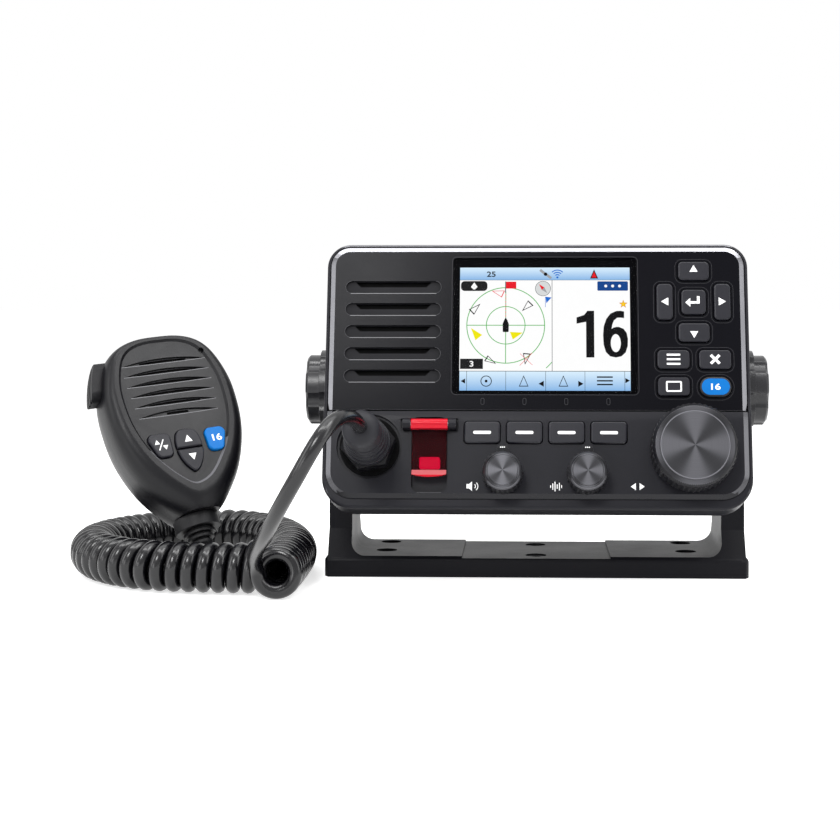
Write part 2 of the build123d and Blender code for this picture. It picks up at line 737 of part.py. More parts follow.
def make_display_panel():
    panel = slab(panel_outline(0), PANEL_FRONT, PANEL_BACK)
    face = panel.faces().sort_by(Axis.Y)[0]
    rim = [edge for edge in face.edges() if edge.center().Z > PANEL_BOTTOM + 1]
    panel = chamfer(rim, PANEL_BAND, PANEL_CHAMFER, reference=face)
    window = rounded(WINDOW_X, WINDOW_Z, WINDOW_WIDTH, WINDOW_HEIGHT, WINDOW_CORNER)
    panel -= slab(window, PANEL_FRONT - 1, WINDOW_FRONT + WINDOW_THICK)
    panel -= slab(Pos(LCD_X, LCD_Z) * Rectangle(LCD_WIDTH, LCD_HEIGHT), PANEL_FRONT, PANEL_BACK + 1)
    for z in slot_heights():
        slot = Pos(SLOT_X, z) * SlotOverall(SLOT_LENGTH, SLOT_HEIGHT)
        panel -= slab(slot, PANEL_FRONT - 1, PANEL_FRONT + SLOT_SINK)
        vent = Pos(SLOT_X, z + VENT_RAISE) * Rot(0, 0, 180) * Trapezoid(VENT_LENGTH, VENT_HEIGHT, 45)
        panel -= slab(vent, PANEL_FRONT, PANEL_BACK + 1)
    for sizes in PANEL_KEYS.values():
        panel -= slab(key_hole(*sizes), PANEL_FRONT - 1, PANEL_BACK + 1)
    return LEAN * panel


def make_screen_window():
    width = WINDOW_WIDTH - 2 * WINDOW_FIT
    profile = rounded(WINDOW_X, WINDOW_Z, width, WINDOW_HEIGHT - 2 * WINDOW_FIT, WINDOW_CORNER)
    window = slab(profile, WINDOW_FRONT, WINDOW_FRONT + WINDOW_THICK)
    return LEAN * chamfer(front_edges(window, WINDOW_FRONT), WINDOW_EDGE)


def make_lcd_module():
    frame = rounded(LCD_X, LCD_Z, LCD_WIDTH + 2 * LCD_FRAME, LCD_HEIGHT + 2 * LCD_FRAME, LCD_CORNER)
    module = slab(frame, PANEL_BACK, PANEL_BACK + LCD_DEPTH)
    glass = Pos(LCD_X, LCD_Z) * Rectangle(LCD_WIDTH - 2 * LCD_FIT, LCD_HEIGHT - 2 * LCD_FIT)
    module += slab(glass, WINDOW_FRONT + WINDOW_THICK, PANEL_BACK + 1)
    return LEAN * module


def make_speaker():
    front = PANEL_BACK
    middle_z = sum(slot_heights()) / SLOT_COUNT
    height = SLOT_PITCH * (SLOT_COUNT - 1) + 2 * SLOT_HEIGHT
    cone_front = front + SPEAKER_GASKET
    gasket = rounded(SLOT_X, middle_z, SLOT_LENGTH + 1, height, SPEAKER_GASKET_CORNER)
    speaker = slab(gasket, front, cone_front)
    cone_back = cone_front + SPEAKER_CONE_DEPTH
    magnet_back = cone_back + SPEAKER_MAGNET_DEPTH
    speaker += turned(
        [
            (0, cone_front),
            (SPEAKER_CONE_R, cone_front),
            (SPEAKER_CONE_R, cone_front + SPEAKER_RIM),
            (SPEAKER_MAGNET_R, cone_back),
            (SPEAKER_MAGNET_R, magnet_back),
            (0, magnet_back),
        ],
        SLOT_X, middle_z)
    return LEAN * speaker


# ---------------------------------------------------------------- keys and boards
def make_key(x, z, width, height, radius, face, wall_back):
    """A key cap that stands proud of its panel, with a flange behind the panel."""
    front = face - KEY_PROUD
    flange_front = wall_back + KEY_FLANGE_GAP
    cap = slab(rounded(x, z, width, height, radius), front, flange_front)
    cap = chamfer(front_edges(cap, front), KEY_EDGE)
    past = 2 * (KEY_FIT + KEY_FLANGE)
    flange = rounded(x, z, width + past, height + past, radius)
    return LEAN * (cap + slab(flange, flange_front, flange_front + KEY_FLANGE_THICK))


def make_panel_key(name):
    return make_key(*PANEL_KEYS[name], PANEL_FRONT, PANEL_BACK)


def make_soft_key(x):
    return make_key(x, SOFT_KEY_Z, SOFT_KEY_WIDTH, SOFT_KEY_HEIGHT, SOFT_KEY_CORNER, LOWER_FRONT, LOWER_BACK)


def control_places():
    return [(CHANNEL_X, CHANNEL_Z)] + [(x, LEVEL_Z) for x in LEVEL_X]


def make_key_board():
    left_key_x = PANEL_KEYS["key_left"][0]
    half = PANEL_WIDTH / 2 - LEDGE - BOARD_GAP
    low = CASE_BOTTOM + 2 * CASE_WALL + BOARD_GAP
    high = PANEL_TOP - LEDGE - BOARD_GAP
    board = plate_between(half, low, PANEL_BOTTOM, BOARD_CORNER)
    strip_left = left_key_x - KEY_BOARD_MARGIN
    board += rounded((strip_left + half) / 2, (low + high) / 2, half - strip_left, high - low, BOARD_CORNER)
    board = slab(board, KEY_BOARD_FRONT, KEY_BOARD_FRONT + BOARD_THICK)
    for x, z in control_places():
        board -= rod(x, z, BUSH_R + POCKET_FIT, KEY_BOARD_FRONT - 1, CONTROL_FRONT + 1)
    board -= rod(PLUG_X, PLUG_Z, SOCKET_BARREL_R + POCKET_FIT, KEY_BOARD_FRONT - 1, CONTROL_FRONT + 1)
    return LEAN * board


def make_rotary_controls():
    solids = []
    for x, z in control_places():
        body = slab(Pos(x, z) * Rectangle(CONTROL_BODY, CONTROL_BODY), CONTROL_FRONT, CONTROL_BACK)
        body += rod(x, z, BUSH_R, LOWER_FRONT - BUSH_REACH, CONTROL_FRONT + 1)
        body -= rod(x, z, SHAFT_R + SHAFT_FIT, LOWER_FRONT - BUSH_REACH - 1, BORE_END)
        solids.append(body)
    return LEAN * Compound(solids)


def make_main_board():
    half = MAIN_BOARD_WIDTH / 2
    board = plate_between(half, MAIN_BOARD_BOTTOM, MAIN_BOARD_TOP, MAIN_BOARD_CORNER)
    return LEAN * slab(board, MAIN_BOARD_FRONT, MAIN_BOARD_FRONT + BOARD_THICK)


# ---------------------------------------------------------------- knobs
def knurled(radius, ribs, sink):
    """A round profile with shallow valleys all round."""
    outer = radius
    valley = radius - sink
    steps = 2 * ribs
    points = []
    for index in range(steps):
        reach = outer if index % 2 == 0 else valley
        angle = math.radians(360 * index / steps)
        points.append((reach * math.cos(angle), reach * math.sin(angle)))
    return make_face(Polyline(*points, close=True))


def make_knob(x, z, radius, bevel, disc, depth, gap, ribs, bore_back):
    """A ribbed knob with a bevelled nose, a hollow back and its shaft."""
    back = LOWER_FRONT - gap
    front = back - depth
    bevel_start = front + (radius - bevel) * BEVEL_SLOPE
    knob = slab(Pos(x, z) * knurled(radius, ribs, RIB_SINK), bevel_start, back)
    knob += turned(
        [
            (0, front),
            (bevel - KNOB_NOSE, front),
            (bevel, front + KNOB_NOSE),
            (radius - RIB_SINK, bevel_start),
            (radius - RIB_SINK, back - 1),
            (0, back - 1),
        ],
        x, z)
    seat = DISC_THICK - DISC_PROUD
    knob -= rod(x, z, disc + DISC_FIT, front - 1, front + seat)
    hollow_front = LOWER_FRONT - BUSH_REACH - BUSH_END_GAP
    knob -= rod(x, z, max(BUSH_R + BUSH_SIDE_GAP, radius - KNOB_WALL), hollow_front, back + 1)
    knob += rod(x, z, SHAFT_R, hollow_front - 1, bore_back)
    return knob


def make_disc(x, z, radius, depth, gap):
    front = LOWER_FRONT - gap - depth - DISC_PROUD
    disc = rod(x, z, radius, front, front + DISC_THICK)
    return LEAN * chamfer(front_edges(disc, front), DISC_EDGE)


def make_channel_knob():
    knob = make_knob(
        CHANNEL_X, CHANNEL_Z, CHANNEL_R, CHANNEL_BEVEL_R, CHANNEL_DISC_R,
        CHANNEL_DEPTH, CHANNEL_GAP, CHANNEL_RIBS, PLUNGER_FRONT)
    return LEAN * knob


def make_level_knob(x):
    knob = make_knob(
        x, LEVEL_Z, LEVEL_R, LEVEL_BEVEL_R, LEVEL_DISC_R,
        LEVEL_DEPTH, LEVEL_GAP, LEVEL_RIBS, CONTROL_BACK - LEVEL_SHAFT_END)
    back = LOWER_FRONT - LEVEL_GAP
    pointer = make_face(Polyline(
        (x - POINTER_WIDTH / 2, LEVEL_Z + LEVEL_R - POINTER_ROOT),
        (x + POINTER_WIDTH / 2, LEVEL_Z + LEVEL_R - POINTER_ROOT),
        (x + POINTER_TOP_WIDTH / 2, LEVEL_Z + POINTER_REACH),
        (x - POINTER_TOP_WIDTH / 2, LEVEL_Z + POINTER_REACH),
        close=True,
    ))
    return LEAN * (knob + slab(pointer, back - POINTER_DEPTH, back))


def make_channel_plunger():
    return LEAN * rod(CHANNEL_X, CHANNEL_Z, PLUNGER_R, PLUNGER_FRONT, PLUNGER_BACK)


# ---------------------------------------------------------------- distress switch
def make_hinge_pin():
    profile = Pos(hinge_y(), HINGE_Z) * Circle(HINGE_PIN_R)
    return LEAN * side_slab(profile, DISTRESS_X - HINGE_HALF, DISTRESS_X + HINGE_HALF)


def make_distress_cover():
    y = hinge_y()
    half = HINGE_HALF - HINGE_LUG - COVER_SIDE_GAP
    back = LOWER_FRONT - COVER_BACK_GAP
    front = back - COVER_THICK
    barrel_r = HINGE_BARREL_R - BARREL_EASE
    web_front = y - barrel_r
    barrel = Pos(y, HINGE_Z) * Circle(barrel_r)
    barrel += Pos((web_front + back) / 2, HINGE_Z - WEB_DROP) * Rectangle(back - web_front, COVER_THICK)
    web = side_slab(barrel, DISTRESS_X - half, DISTRESS_X + half)
    leaf = make_face(Polyline(
        (back, HINGE_Z - COVER_TOP),
        (front, HINGE_Z - COVER_TOP),
        (front, COVER_BOTTOM + LIP_START),
        (front - COVER_LIP, COVER_BOTTOM + LIP_FLAT),
        (front - COVER_LIP, COVER_BOTTOM),
        (back - COVER_LIP, COVER_BOTTOM),
        (back, COVER_BOTTOM + LIP_INNER),
        close=True,
    ))
    half = COVER_WIDTH / 2
    leaf = side_slab(leaf, DISTRESS_X - half, DISTRESS_X + half)
    low = COVER_BOTTOM + COVER_BOW
    bow = ThreePointArc((DISTRESS_X - half, low), (DISTRESS_X, COVER_BOTTOM), (DISTRESS_X + half, low))
    rest = Polyline(
        (DISTRESS_X + half, low),
        (DISTRESS_X + half, 0),
        (DISTRESS_X - half, 0),
        (DISTRESS_X - half, low),
    )
    leaf = leaf & slab(make_face(bow.edges() + rest.edges()), front - COVER_LIP, back)
    cover = web + leaf
    bore = Pos(y, HINGE_Z) * Circle(HINGE_PIN_R + HINGE_FIT)
    cover -= side_slab(bore, DISTRESS_X - HINGE_HALF, DISTRESS_X + HINGE_HALF)
    return LEAN * cover


def make_distress_button():
    floor = LOWER_FRONT + DISTRESS_SINK
    front = floor - BUTTON_PROUD
    back = KEY_BOARD_FRONT - CHANNEL_PUSH - END_GAP
    profile = rounded(DISTRESS_X, BUTTON_Z, BUTTON_WIDTH, BUTTON_HEIGHT, BUTTON_CORNER)
    return LEAN * chamfer(front_edges(slab(profile, front, back), front), KEY_EDGE)


# ---------------------------------------------------------------- microphone plug
def make_mic_socket():
    flange_front = LOWER_FRONT + PLUG_RECESS_DEPTH - SOCKET_FLANGE
    front = LOWER_FRONT - SOCKET_BARREL_REACH
    socket = rod(PLUG_X, PLUG_Z, SOCKET_FLANGE_R, flange_front, flange_front + SOCKET_FLANGE)
    socket += rod(PLUG_X, PLUG_Z, SOCKET_BARREL_R, front, CONTROL_FRONT + SOCKET_TAIL)
    return LEAN * socket


def nut_back():
    return LOWER_FRONT + PLUG_RECESS_DEPTH - SOCKET_FLANGE - NUT_GAP


def make_plug_nut():
    back = nut_back()
    front = back - NUT_LENGTH
    hexagon = Pos(PLUG_X, PLUG_Z) * RegularPolygon(NUT_ACROSS_CORNERS / 2, 6, rotation=NUT_TURN)
    nut = slab(hexagon, front, back)
    reach = NUT_ACROSS_CORNERS / 2
    cone = turned(
        [
            (0, front),
            (reach - NUT_BEVEL, front),
            (reach + NUT_EDGE, front + NUT_BEVEL),
            (reach + NUT_EDGE, back),
            (0, back),
        ],
        PLUG_X, PLUG_Z)
    nut = nut & cone
    bore_front = LOWER_FRONT - SOCKET_BARREL_REACH - END_GAP
    nut -= rod(PLUG_X, PLUG_Z, SOCKET_BARREL_R + NUT_FIT, bore_front, back + 1)
    return LEAN * nut


def boot_tip_y():
    return nut_back() - NUT_LENGTH - BOOT_LENGTH


def make_plug_boot():
    start = nut_back() - NUT_LENGTH
    near = start
    points = [(0, start)]
    for radius, share in BOOT_STEPS:
        far = start - BOOT_LENGTH * share
        points += [(radius, near), (radius, far)]
        near = far
    points.append((0, near))
    boot = turned(points, PLUG_X, PLUG_Z)
    return LEAN * fillet(front_edges(boot, near), BOOT_NOSE_ROUND)


# ---------------------------------------------------------------- rear chassis and fittings
def make_rear_chassis():
    half = CHASSIS_WIDTH / 2
    low = CHASSIS_BOTTOM + CHASSIS_WALL
    high = CHASSIS_TOP - CHASSIS_WALL
    outer = plate_between(half, CHASSIS_BOTTOM, CHASSIS_TOP, CHASSIS_CORNER)
    chassis = slab(outer, CHASSIS_FRONT, CHASSIS_BACK)
    chassis = fillet(front_edges(chassis, CHASSIS_BACK), CHASSIS_EDGE)
    inner = plate_between(half - CHASSIS_WALL, low, high, CHASSIS_CORNER - CHASSIS_WALL)
    chassis -= slab(inner, CHASSIS_FRONT - 1, CHASSIS_BACK - CHASSIS_WALL)
    first = -FIN_PITCH * (FIN_COUNT - 1) / 2
    fin = Pos(0, (FIN_BOTTOM + FIN_TOP) / 2) * Rectangle(FIN_THICK, FIN_TOP - FIN_BOTTOM)
    for index in range(FIN_COUNT):
        place = Pos(first + index * FIN_PITCH, 0)
        chassis += slab(place * fin, CHASSIS_BACK - 1, CHASSIS_BACK + FIN_DEPTH)
    board_back = MAIN_BOARD_FRONT + BOARD_THICK
    for x in (-POST_X, POST_X):
        for z in POST_Z:
            chassis += rod(x, z, POST_R, board_back, CHASSIS_BACK - CHASSIS_WALL + 1)
    for side in (-1, 1):
        ends = sorted((side * half, side * (half - CHASSIS_WALL - BOSS_LENGTH)))
        chassis += side_slab(Circle(BOSS_R), ends[0], ends[1])
        chassis -= side_slab(Circle(STUD_R + STUD_FIT), ends[0] - 1, ends[1] + 1)
    return LEAN * chassis


def screw_head(x, z, radius):
    head_back = CHASSIS_BACK + REAR_SCREW_HEAD
    head = rod(x, z, radius, CHASSIS_BACK, head_back)
    return chamfer(front_edges(head, head_back), SCREW_CHAMFER)


def make_rear_screws():
    heads = []
    for side in (-1, 1):
        corner_z = CHASSIS_BOTTOM + REAR_SCREW_RISE
        heads.append(screw_head(side * REAR_SCREW_X, corner_z, REAR_SCREW_HEAD_R))
        heads.append(screw_head(side * COVER_SCREW_X, FIN_BOTTOM - COVER_SCREW_DROP, COVER_SCREW_HEAD_R))
    return LEAN * Compound(heads)


def coaxial_socket(x, radius, wall, pin_radius):
    """A barrel with a centre pin, standing on the rear wall."""
    end = CHASSIS_BACK + ANTENNA_LENGTH
    socket = rod(x, CONNECTOR_Z, radius, CHASSIS_BACK, end)
    socket -= rod(x, CONNECTOR_Z, radius - wall, CHASSIS_BACK + SOCKET_FLOOR, end + 1)
    return socket + rod(x, CONNECTOR_Z, pin_radius, CHASSIS_BACK + 1, end - PIN_SHORT)


def make_antenna_sockets():
    flange_back = CHASSIS_BACK + FLANGE_THICK
    plate = rounded(ANTENNA_X, CONNECTOR_Z, ANTENNA_FLANGE, ANTENNA_FLANGE, FLANGE_CORNER)
    large = coaxial_socket(ANTENNA_X, ANTENNA_R, ANTENNA_WALL, ANTENNA_PIN_R)
    large += slab(plate, CHASSIS_BACK, flange_back)
    small = coaxial_socket(BNC_X, BNC_R, BNC_WALL, BNC_PIN_R)
    small += rod(BNC_X, CONNECTOR_Z, BNC_R + BNC_FLANGE, CHASSIS_BACK, flange_back)
    return LEAN * Compound([large, small])


def make_data_sockets():
    sockets = []
    end = CHASSIS_BACK + DATA_LENGTH
    for x in DATA_X:
        socket = rod(x, CONNECTOR_Z, DATA_R, CHASSIS_BACK, CHASSIS_BACK + FLANGE_THICK)
        socket += rod(x, CONNECTOR_Z, DATA_R - DATA_STEP, CHASSIS_BACK, end)
        socket -= rod(x, CONNECTOR_Z, DATA_R - DATA_BORE_STEP, CHASSIS_BACK + DATA_FLOOR, end + 1)
        sockets.append(socket)
    return LEAN * Compound(sockets)


def make_power_gland():
    end = CHASSIS_BACK + GLAND_LENGTH
    hexagon = Pos(GLAND_X, CONNECTOR_Z) * RegularPolygon(GLAND_R, 6)
    gland = slab(hexagon, CHASSIS_BACK, CHASSIS_BACK + GLAND_NUT)
    gland += rod(GLAND_X, CONNECTOR_Z, GLAND_R - GLAND_STEP, CHASSIS_BACK + 1, end)
    gland -= rod(GLAND_X, CONNECTOR_Z, GLAND_BORE_R, CHASSIS_BACK + GLAND_FLOOR, end + 1)
    return LEAN * gland


def make_ground_terminal():
    terminal = rod(GROUND_X, GROUND_Z, GROUND_R, CHASSIS_BACK, CHASSIS_BACK + GROUND_LENGTH)
    nut = Pos(GROUND_X, GROUND_Z) * RegularPolygon(GROUND_R * 2, 6)
    return LEAN * (terminal + slab(nut, CHASSIS_BACK, CHASSIS_BACK + GROUND_NUT))


# ---------------------------------------------------------------- microphone pieces
def mic_location():
    yaw = math.radians(MIC_YAW)
    lean = math.radians(MIC_LEAN)
    roll = math.radians(MIC_ROLL)
    right = Vector(math.cos(yaw), math.sin(yaw), 0)
    up = Vector(-math.sin(yaw) * math.sin(lean), math.cos(yaw) * math.sin(lean), math.cos(lean))
    rolled_right = right * math.cos(roll) + up * math.sin(roll)
    rolled_up = up * math.cos(roll) - right * math.sin(roll)
    neck = Vector(MIC_NECK_X, MIC_NECK_Y, MIC_NECK_Z)
    return Plane(origin=neck, x_dir=rolled_right, z_dir=rolled_up).location


def egg(half, top, bottom):
    """The microphone's outline, drawn to this half width between these heights."""
    right = [(half * across, bottom + (top - bottom) * up) for up, across in MIC_EGG]
    left = [(-x, z) for x, z in reversed(right[1:-1])]
    return make_face(Spline(*right, *left, periodic=True))


def mic_body(inset):
    """The whole form of the microphone, made smaller by inset on every side."""
    middle = (MIC_BACK - MIC_FACE) / 2
    shrink = 1 - 2 * inset / (MIC_BACK + MIC_FACE)
    sections = []
    for y, half, top, bottom in MIC_FORM:
        plane = Plane(origin=(0, middle + (y - middle) * shrink, 0), x_dir=(1, 0, 0), z_dir=(0, -1, 0))
        sections.append(plane * egg(half - inset, top - inset, bottom + inset))
    return loft(sections)


def mic_block(front, back, bottom):
    """A large block that keeps what lies between two depths and above a height."""
    return side_slab(Pos((front + back) / 2, bottom + MIC_REACH) * Rectangle(back - front, 2 * MIC_REACH),
                     -MIC_REACH, MIC_REACH)


def talk_profile(fit):
    height = TALK_HIGH - TALK_LOW + 2 * fit
    middle = (TALK_HIGH + TALK_LOW) / 2
    return Pos(TALK_Y, middle) * RectangleRounded(2 * (TALK_HALF_DEPTH + fit), height, TALK_CORNER)


def talk_slot():
    """Room for the talk button in the left wall of both microphone cases."""
    return side_slab(talk_profile(TALK_FIT), -MIC_REACH, -TALK_IN + TALK_SLOT_PAST)


def mic_case(front, back):
    """One of the two microphone cases: a hollow part of the whole form."""
    hollow = mic_body(MIC_WALL) & mic_block(-MIC_REACH, MIC_REACH, MIC_CHIN + MIC_WALL)
    return (mic_body(0) & mic_block(front, back, MIC_CHIN)) - hollow - talk_slot()


def lens(half, z, height):
    """An arched opening with pointed ends."""
    middle = z + GRILLE_ARCH - GRILLE_HEIGHT / 2
    upper = ThreePointArc((-half, z), (0, middle + height / 2), (half, z))
    lower = ThreePointArc((half, z), (0, middle - height / 2), (-half, z))
    return make_face(upper.edges() + lower.edges())


def make_mic_front_case():
    case = mic_case(-MIC_REACH, MIC_SEAM)
    floor = -MIC_FACE + INSERT_SINK
    rim = Plane(origin=(0, -MIC_FACE, 0), x_dir=(1, 0, 0), z_dir=(0, -1, 0))
    foot = Plane(origin=(0, floor, 0), x_dir=(1, 0, 0), z_dir=(0, -1, 0))
    wide = egg(INSERT_HALF, INSERT_TOP, INSERT_BOTTOM)
    narrow = egg(INSERT_HALF - INSERT_SLOPE, INSERT_TOP - INSERT_SLOPE, INSERT_BOTTOM + INSERT_SLOPE)
    case -= loft([rim * wide, foot * narrow], ruled=True)
    for index, (half, share) in enumerate(zip(GRILLE_HALVES, GRILLE_VENTS)):
        z = GRILLE_TOP - index * GRILLE_PITCH
        case -= slab(lens(half, z, GRILLE_HEIGHT), -MIC_FACE, floor + GRILLE_SINK)
        vent = lens(half, z, VENT_TALL) & (Pos(0, z) * Rectangle(2 * half * share, 2 * GRILLE_PITCH))
        case -= slab(vent, -MIC_FACE, -MIC_FACE + MIC_WALL + 1)
    case -= rod(MIC_HOLE_X, MIC_HOLE_Z, MIC_HOLE_R, -MIC_FACE - 1, floor + GRILLE_SINK)
    for profile in mic_key_profiles(MIC_KEY_FIT).values():
        case -= slab(profile, -MIC_FACE - 1, -MIC_KEY_BACK + 1)
    return mic_location() * case


def make_mic_rear_case():
    case = mic_case(MIC_SEAM, MIC_REACH)
    board_back = MIC_BOARD_FRONT + BOARD_THICK
    for side in (-1, 1):
        z = MIC_SPEAKER_Z + side * MIC_POST_SPREAD
        case += rod(0, z, MIC_POST_R, board_back, MIC_BACK - MIC_WALL / 2)
    return mic_location() * case


def mic_key_profiles(grow):
    """Outlines of the four microphone keys, each made larger by grow on every side."""
    profiles = {}
    for name, corners in MIC_KEY_CORNERS.items():
        sheet = make_face(Polyline(*corners, close=True))
        sheet = fillet(sheet.vertices(), MIC_KEY_ROUND)
        profiles[name] = offset(sheet, grow) if grow else sheet
    oval = egg(ROCKER_HALF + grow, ROCKER_TOP + grow, ROCKER_BOTTOM - grow)
    edge = ROCKER_SPLIT / 2 - grow
    block = Rectangle(MIC_REACH, MIC_REACH)
    profiles["mic_up_key"] = oval - Pos(0, ROCKER_MIDDLE + edge - MIC_REACH / 2) * block
    profiles["mic_down_key"] = oval - Pos(0, ROCKER_MIDDLE - edge + MIC_REACH / 2) * block
    return profiles


def make_mic_key(name):
    profile = mic_key_profiles(0)[name]
    front = -MIC_FACE - MIC_KEY_PROUD
    key = slab(profile, front, -MIC_KEY_BACK)
    return mic_location() * chamfer(front_edges(key, front), KEY_EDGE)


def make_talk_button():
    outer = mic_body(-TALK_PROUD)
    button = side_slab(talk_profile(0), -MIC_REACH, -TALK_IN) & outer
    inner = mic_body(TALK_GROOVE_SINK - TALK_PROUD)
    for y in TALK_GROOVES:
        band = mic_block(y - TALK_GROOVE_WIDTH / 2, y + TALK_GROOVE_WIDTH / 2, 0)
        button -= band - inner
    return mic_location() * button


def make_mic_speaker():
    front = -MIC_FACE + MIC_WALL
    return mic_location() * rod(0, MIC_SPEAKER_Z, MIC_SPEAKER_R, front, front + MIC_SPEAKER_DEPTH)


def make_mic_board():
    board = rounded(0, MIC_BOARD_Z, MIC_BOARD_WIDTH, MIC_BOARD_HEIGHT, MIC_BOARD_CORNER)
    return mic_location() * slab(board, MIC_BOARD_FRONT, MIC_BOARD_FRONT + BOARD_THICK)


def make_mic_hanger_stud():
    stud = rod(0, STUD_Z, HANGER_R, MIC_BACK, MIC_BACK + HANGER_STEM + 1)
    stud += rod(0, STUD_Z, HANGER_HEAD_R, MIC_BACK + HANGER_STEM, MIC_BACK + HANGER_STEM + HANGER_HEAD)
    return mic_location() * stud


def make_mic_screws():
    heads = [rod(x, z, MIC_SCREW_R, MIC_BACK, MIC_BACK + MIC_SCREW_HEAD) for x, z in MIC_SCREWS]
    return mic_location() * Compound(heads)


def make_mic_strain_relief():
    collar_end = MIC_CHIN - RELIEF_COLLAR
    points = [(0, MIC_CHIN), (RELIEF_COLLAR_R, MIC_CHIN), (RELIEF_COLLAR_R, collar_end)]
    pitch = (RELIEF_LENGTH + collar_end - RELIEF_NOSE) / RELIEF_RIBS
    first = RELIEF_COLLAR_R - RELIEF_STEP
    for index in range(RELIEF_RIBS):
        near = collar_end - index * pitch
        radius = first + (RELIEF_TIP_R - first) * (index + 1) / RELIEF_RIBS
        points.append((radius - RELIEF_GROOVE, near))
        points.append((radius - RELIEF_GROOVE, near - pitch * GROOVE_SHARE))
        points.append((radius, near - pitch * GROOVE_SHARE))
        points.append((radius, near - pitch))
    points.append((RELIEF_TIP_R - RELIEF_TIP_STEP, -RELIEF_LENGTH))
    points.append((0, -RELIEF_LENGTH))
    profile = make_face(Plane.XZ * Polyline(*points, close=True))
    return mic_location() * revolve(profile, Axis.Z)


# ---------------------------------------------------------------- cord pieces
def tube(name, points, diameter):
    """A round tube along straight runs joined by arcs; the arcs' radii are printed."""
    places = [Vector(point) for point in points]
    runs = [b - a for a, b in zip(places, places[1:])]
    radii = []
    for before, after in zip(runs, runs[1:]):
        half_turn = math.radians(before.get_angle(after)) / 2
        shorter = min(before.length, after.length)
        radii.append(0.45 * shorter / math.tan(half_turn))
    print(name, "radii", [round(radius, 1) for radius in radii])
    path = FilletPolyline(*places, radius=radii) if radii else Line(*places)
    section = Plane(origin=path @ 0, z_dir=path % 0) * Circle(diameter / 2)
    solid = sweep(section, path=path)
    fill = solid.volume / (section.area * path.length)
    print(name, "length", round(path.length, 1), "fill", round(fill, 4))
    return solid


def beyond_boot(distance):
    return (LEAN * Pos(PLUG_X, boot_tip_y() - distance, PLUG_Z)).position


def below_relief(distance):
    return (mic_location() * Pos(0, 0, -RELIEF_LENGTH - distance)).position


def make_cord_lead():
    start = [beyond_boot(0), beyond_boot(LEAD_STRAIGHT)]
    print("cord_lead starts", start)
    return tube("cord_lead", [*start, *LEAD_ROUTE], CORD_D)


def make_cord_coil():
    return tube("cord_coil", COIL_ROUTE, COIL_D)


def make_cord_tail():
    start = [below_relief(0), below_relief(TAIL_STRAIGHT)]
    print("cord_tail starts", start)
    return tube("cord_tail", [*start, TAIL_END], CORD_D)


# ---------------------------------------------------------------- all nodes
def all_nodes():
    nodes = {
        "bracket": make_bracket(),
        "left_clamp_knob": make_clamp_knob(-1),
        "right_clamp_knob": make_clamp_knob(1),
        "friction_washers": make_friction_washers(),
        "front_case": make_front_case(),
        "case_seal": make_case_seal(),
        "display_panel": make_display_panel(),
        "screen_window": make_screen_window(),
        "lcd_module": make_lcd_module(),
        "speaker": make_speaker(),
        "key_board": make_key_board(),
        "rotary_controls": make_rotary_controls(),
        "main_board": make_main_board(),
        "channel_plunger": make_channel_plunger(),
        "channel_knob": make_channel_knob(),
        "channel_knob_disc": make_disc(CHANNEL_X, CHANNEL_Z, CHANNEL_DISC_R, CHANNEL_DEPTH, CHANNEL_GAP),
        "hinge_pin": make_hinge_pin(),
        "distress_cover": make_distress_cover(),
        "distress_button": make_distress_button(),
        "mic_socket": make_mic_socket(),
        "plug_nut": make_plug_nut(),
        "plug_boot": make_plug_boot(),
        "rear_chassis": make_rear_chassis(),
        "rear_screws": make_rear_screws(),
        "antenna_sockets": make_antenna_sockets(),
        "data_sockets": make_data_sockets(),
        "power_gland": make_power_gland(),
        "ground_terminal": make_ground_terminal(),
        "mic_front_case": make_mic_front_case(),
        "mic_rear_case": make_mic_rear_case(),
        "mic_talk_button": make_talk_button(),
        "mic_speaker": make_mic_speaker(),
        "mic_board": make_mic_board(),
        "mic_hanger_stud": make_mic_hanger_stud(),
        "mic_screws": make_mic_screws(),
        "mic_strain_relief": make_mic_strain_relief(),
        "cord_lead": make_cord_lead(),
        "cord_coil": make_cord_coil(),
        "cord_tail": make_cord_tail(),
    }
    for name, x in zip(("volume", "squelch"), LEVEL_X):
        nodes[name + "_knob"] = make_level_knob(x)
        nodes[name + "_knob_disc"] = make_disc(x, LEVEL_Z, LEVEL_DISC_R, LEVEL_DEPTH, LEVEL_GAP)
    for name in PANEL_KEYS:
        nodes[name] = make_panel_key(name)
    for index, x in enumerate(SOFT_KEY_X):
        nodes["soft_key_" + str(index + 1)] = make_soft_key(x)
    for name in mic_key_profiles(0):
        nodes[name] = make_mic_key(name)
    return nodes


os.makedirs("parts", exist_ok=True)
for node, shape in all_nodes().items():
    export_step(shape, "parts/" + node + ".step")
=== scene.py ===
"""Finish and small detail of a bracket-mounted marine radio and its fist microphone, around their solids."""

import json
import math

import bpy
from mathutils import Matrix, Vector

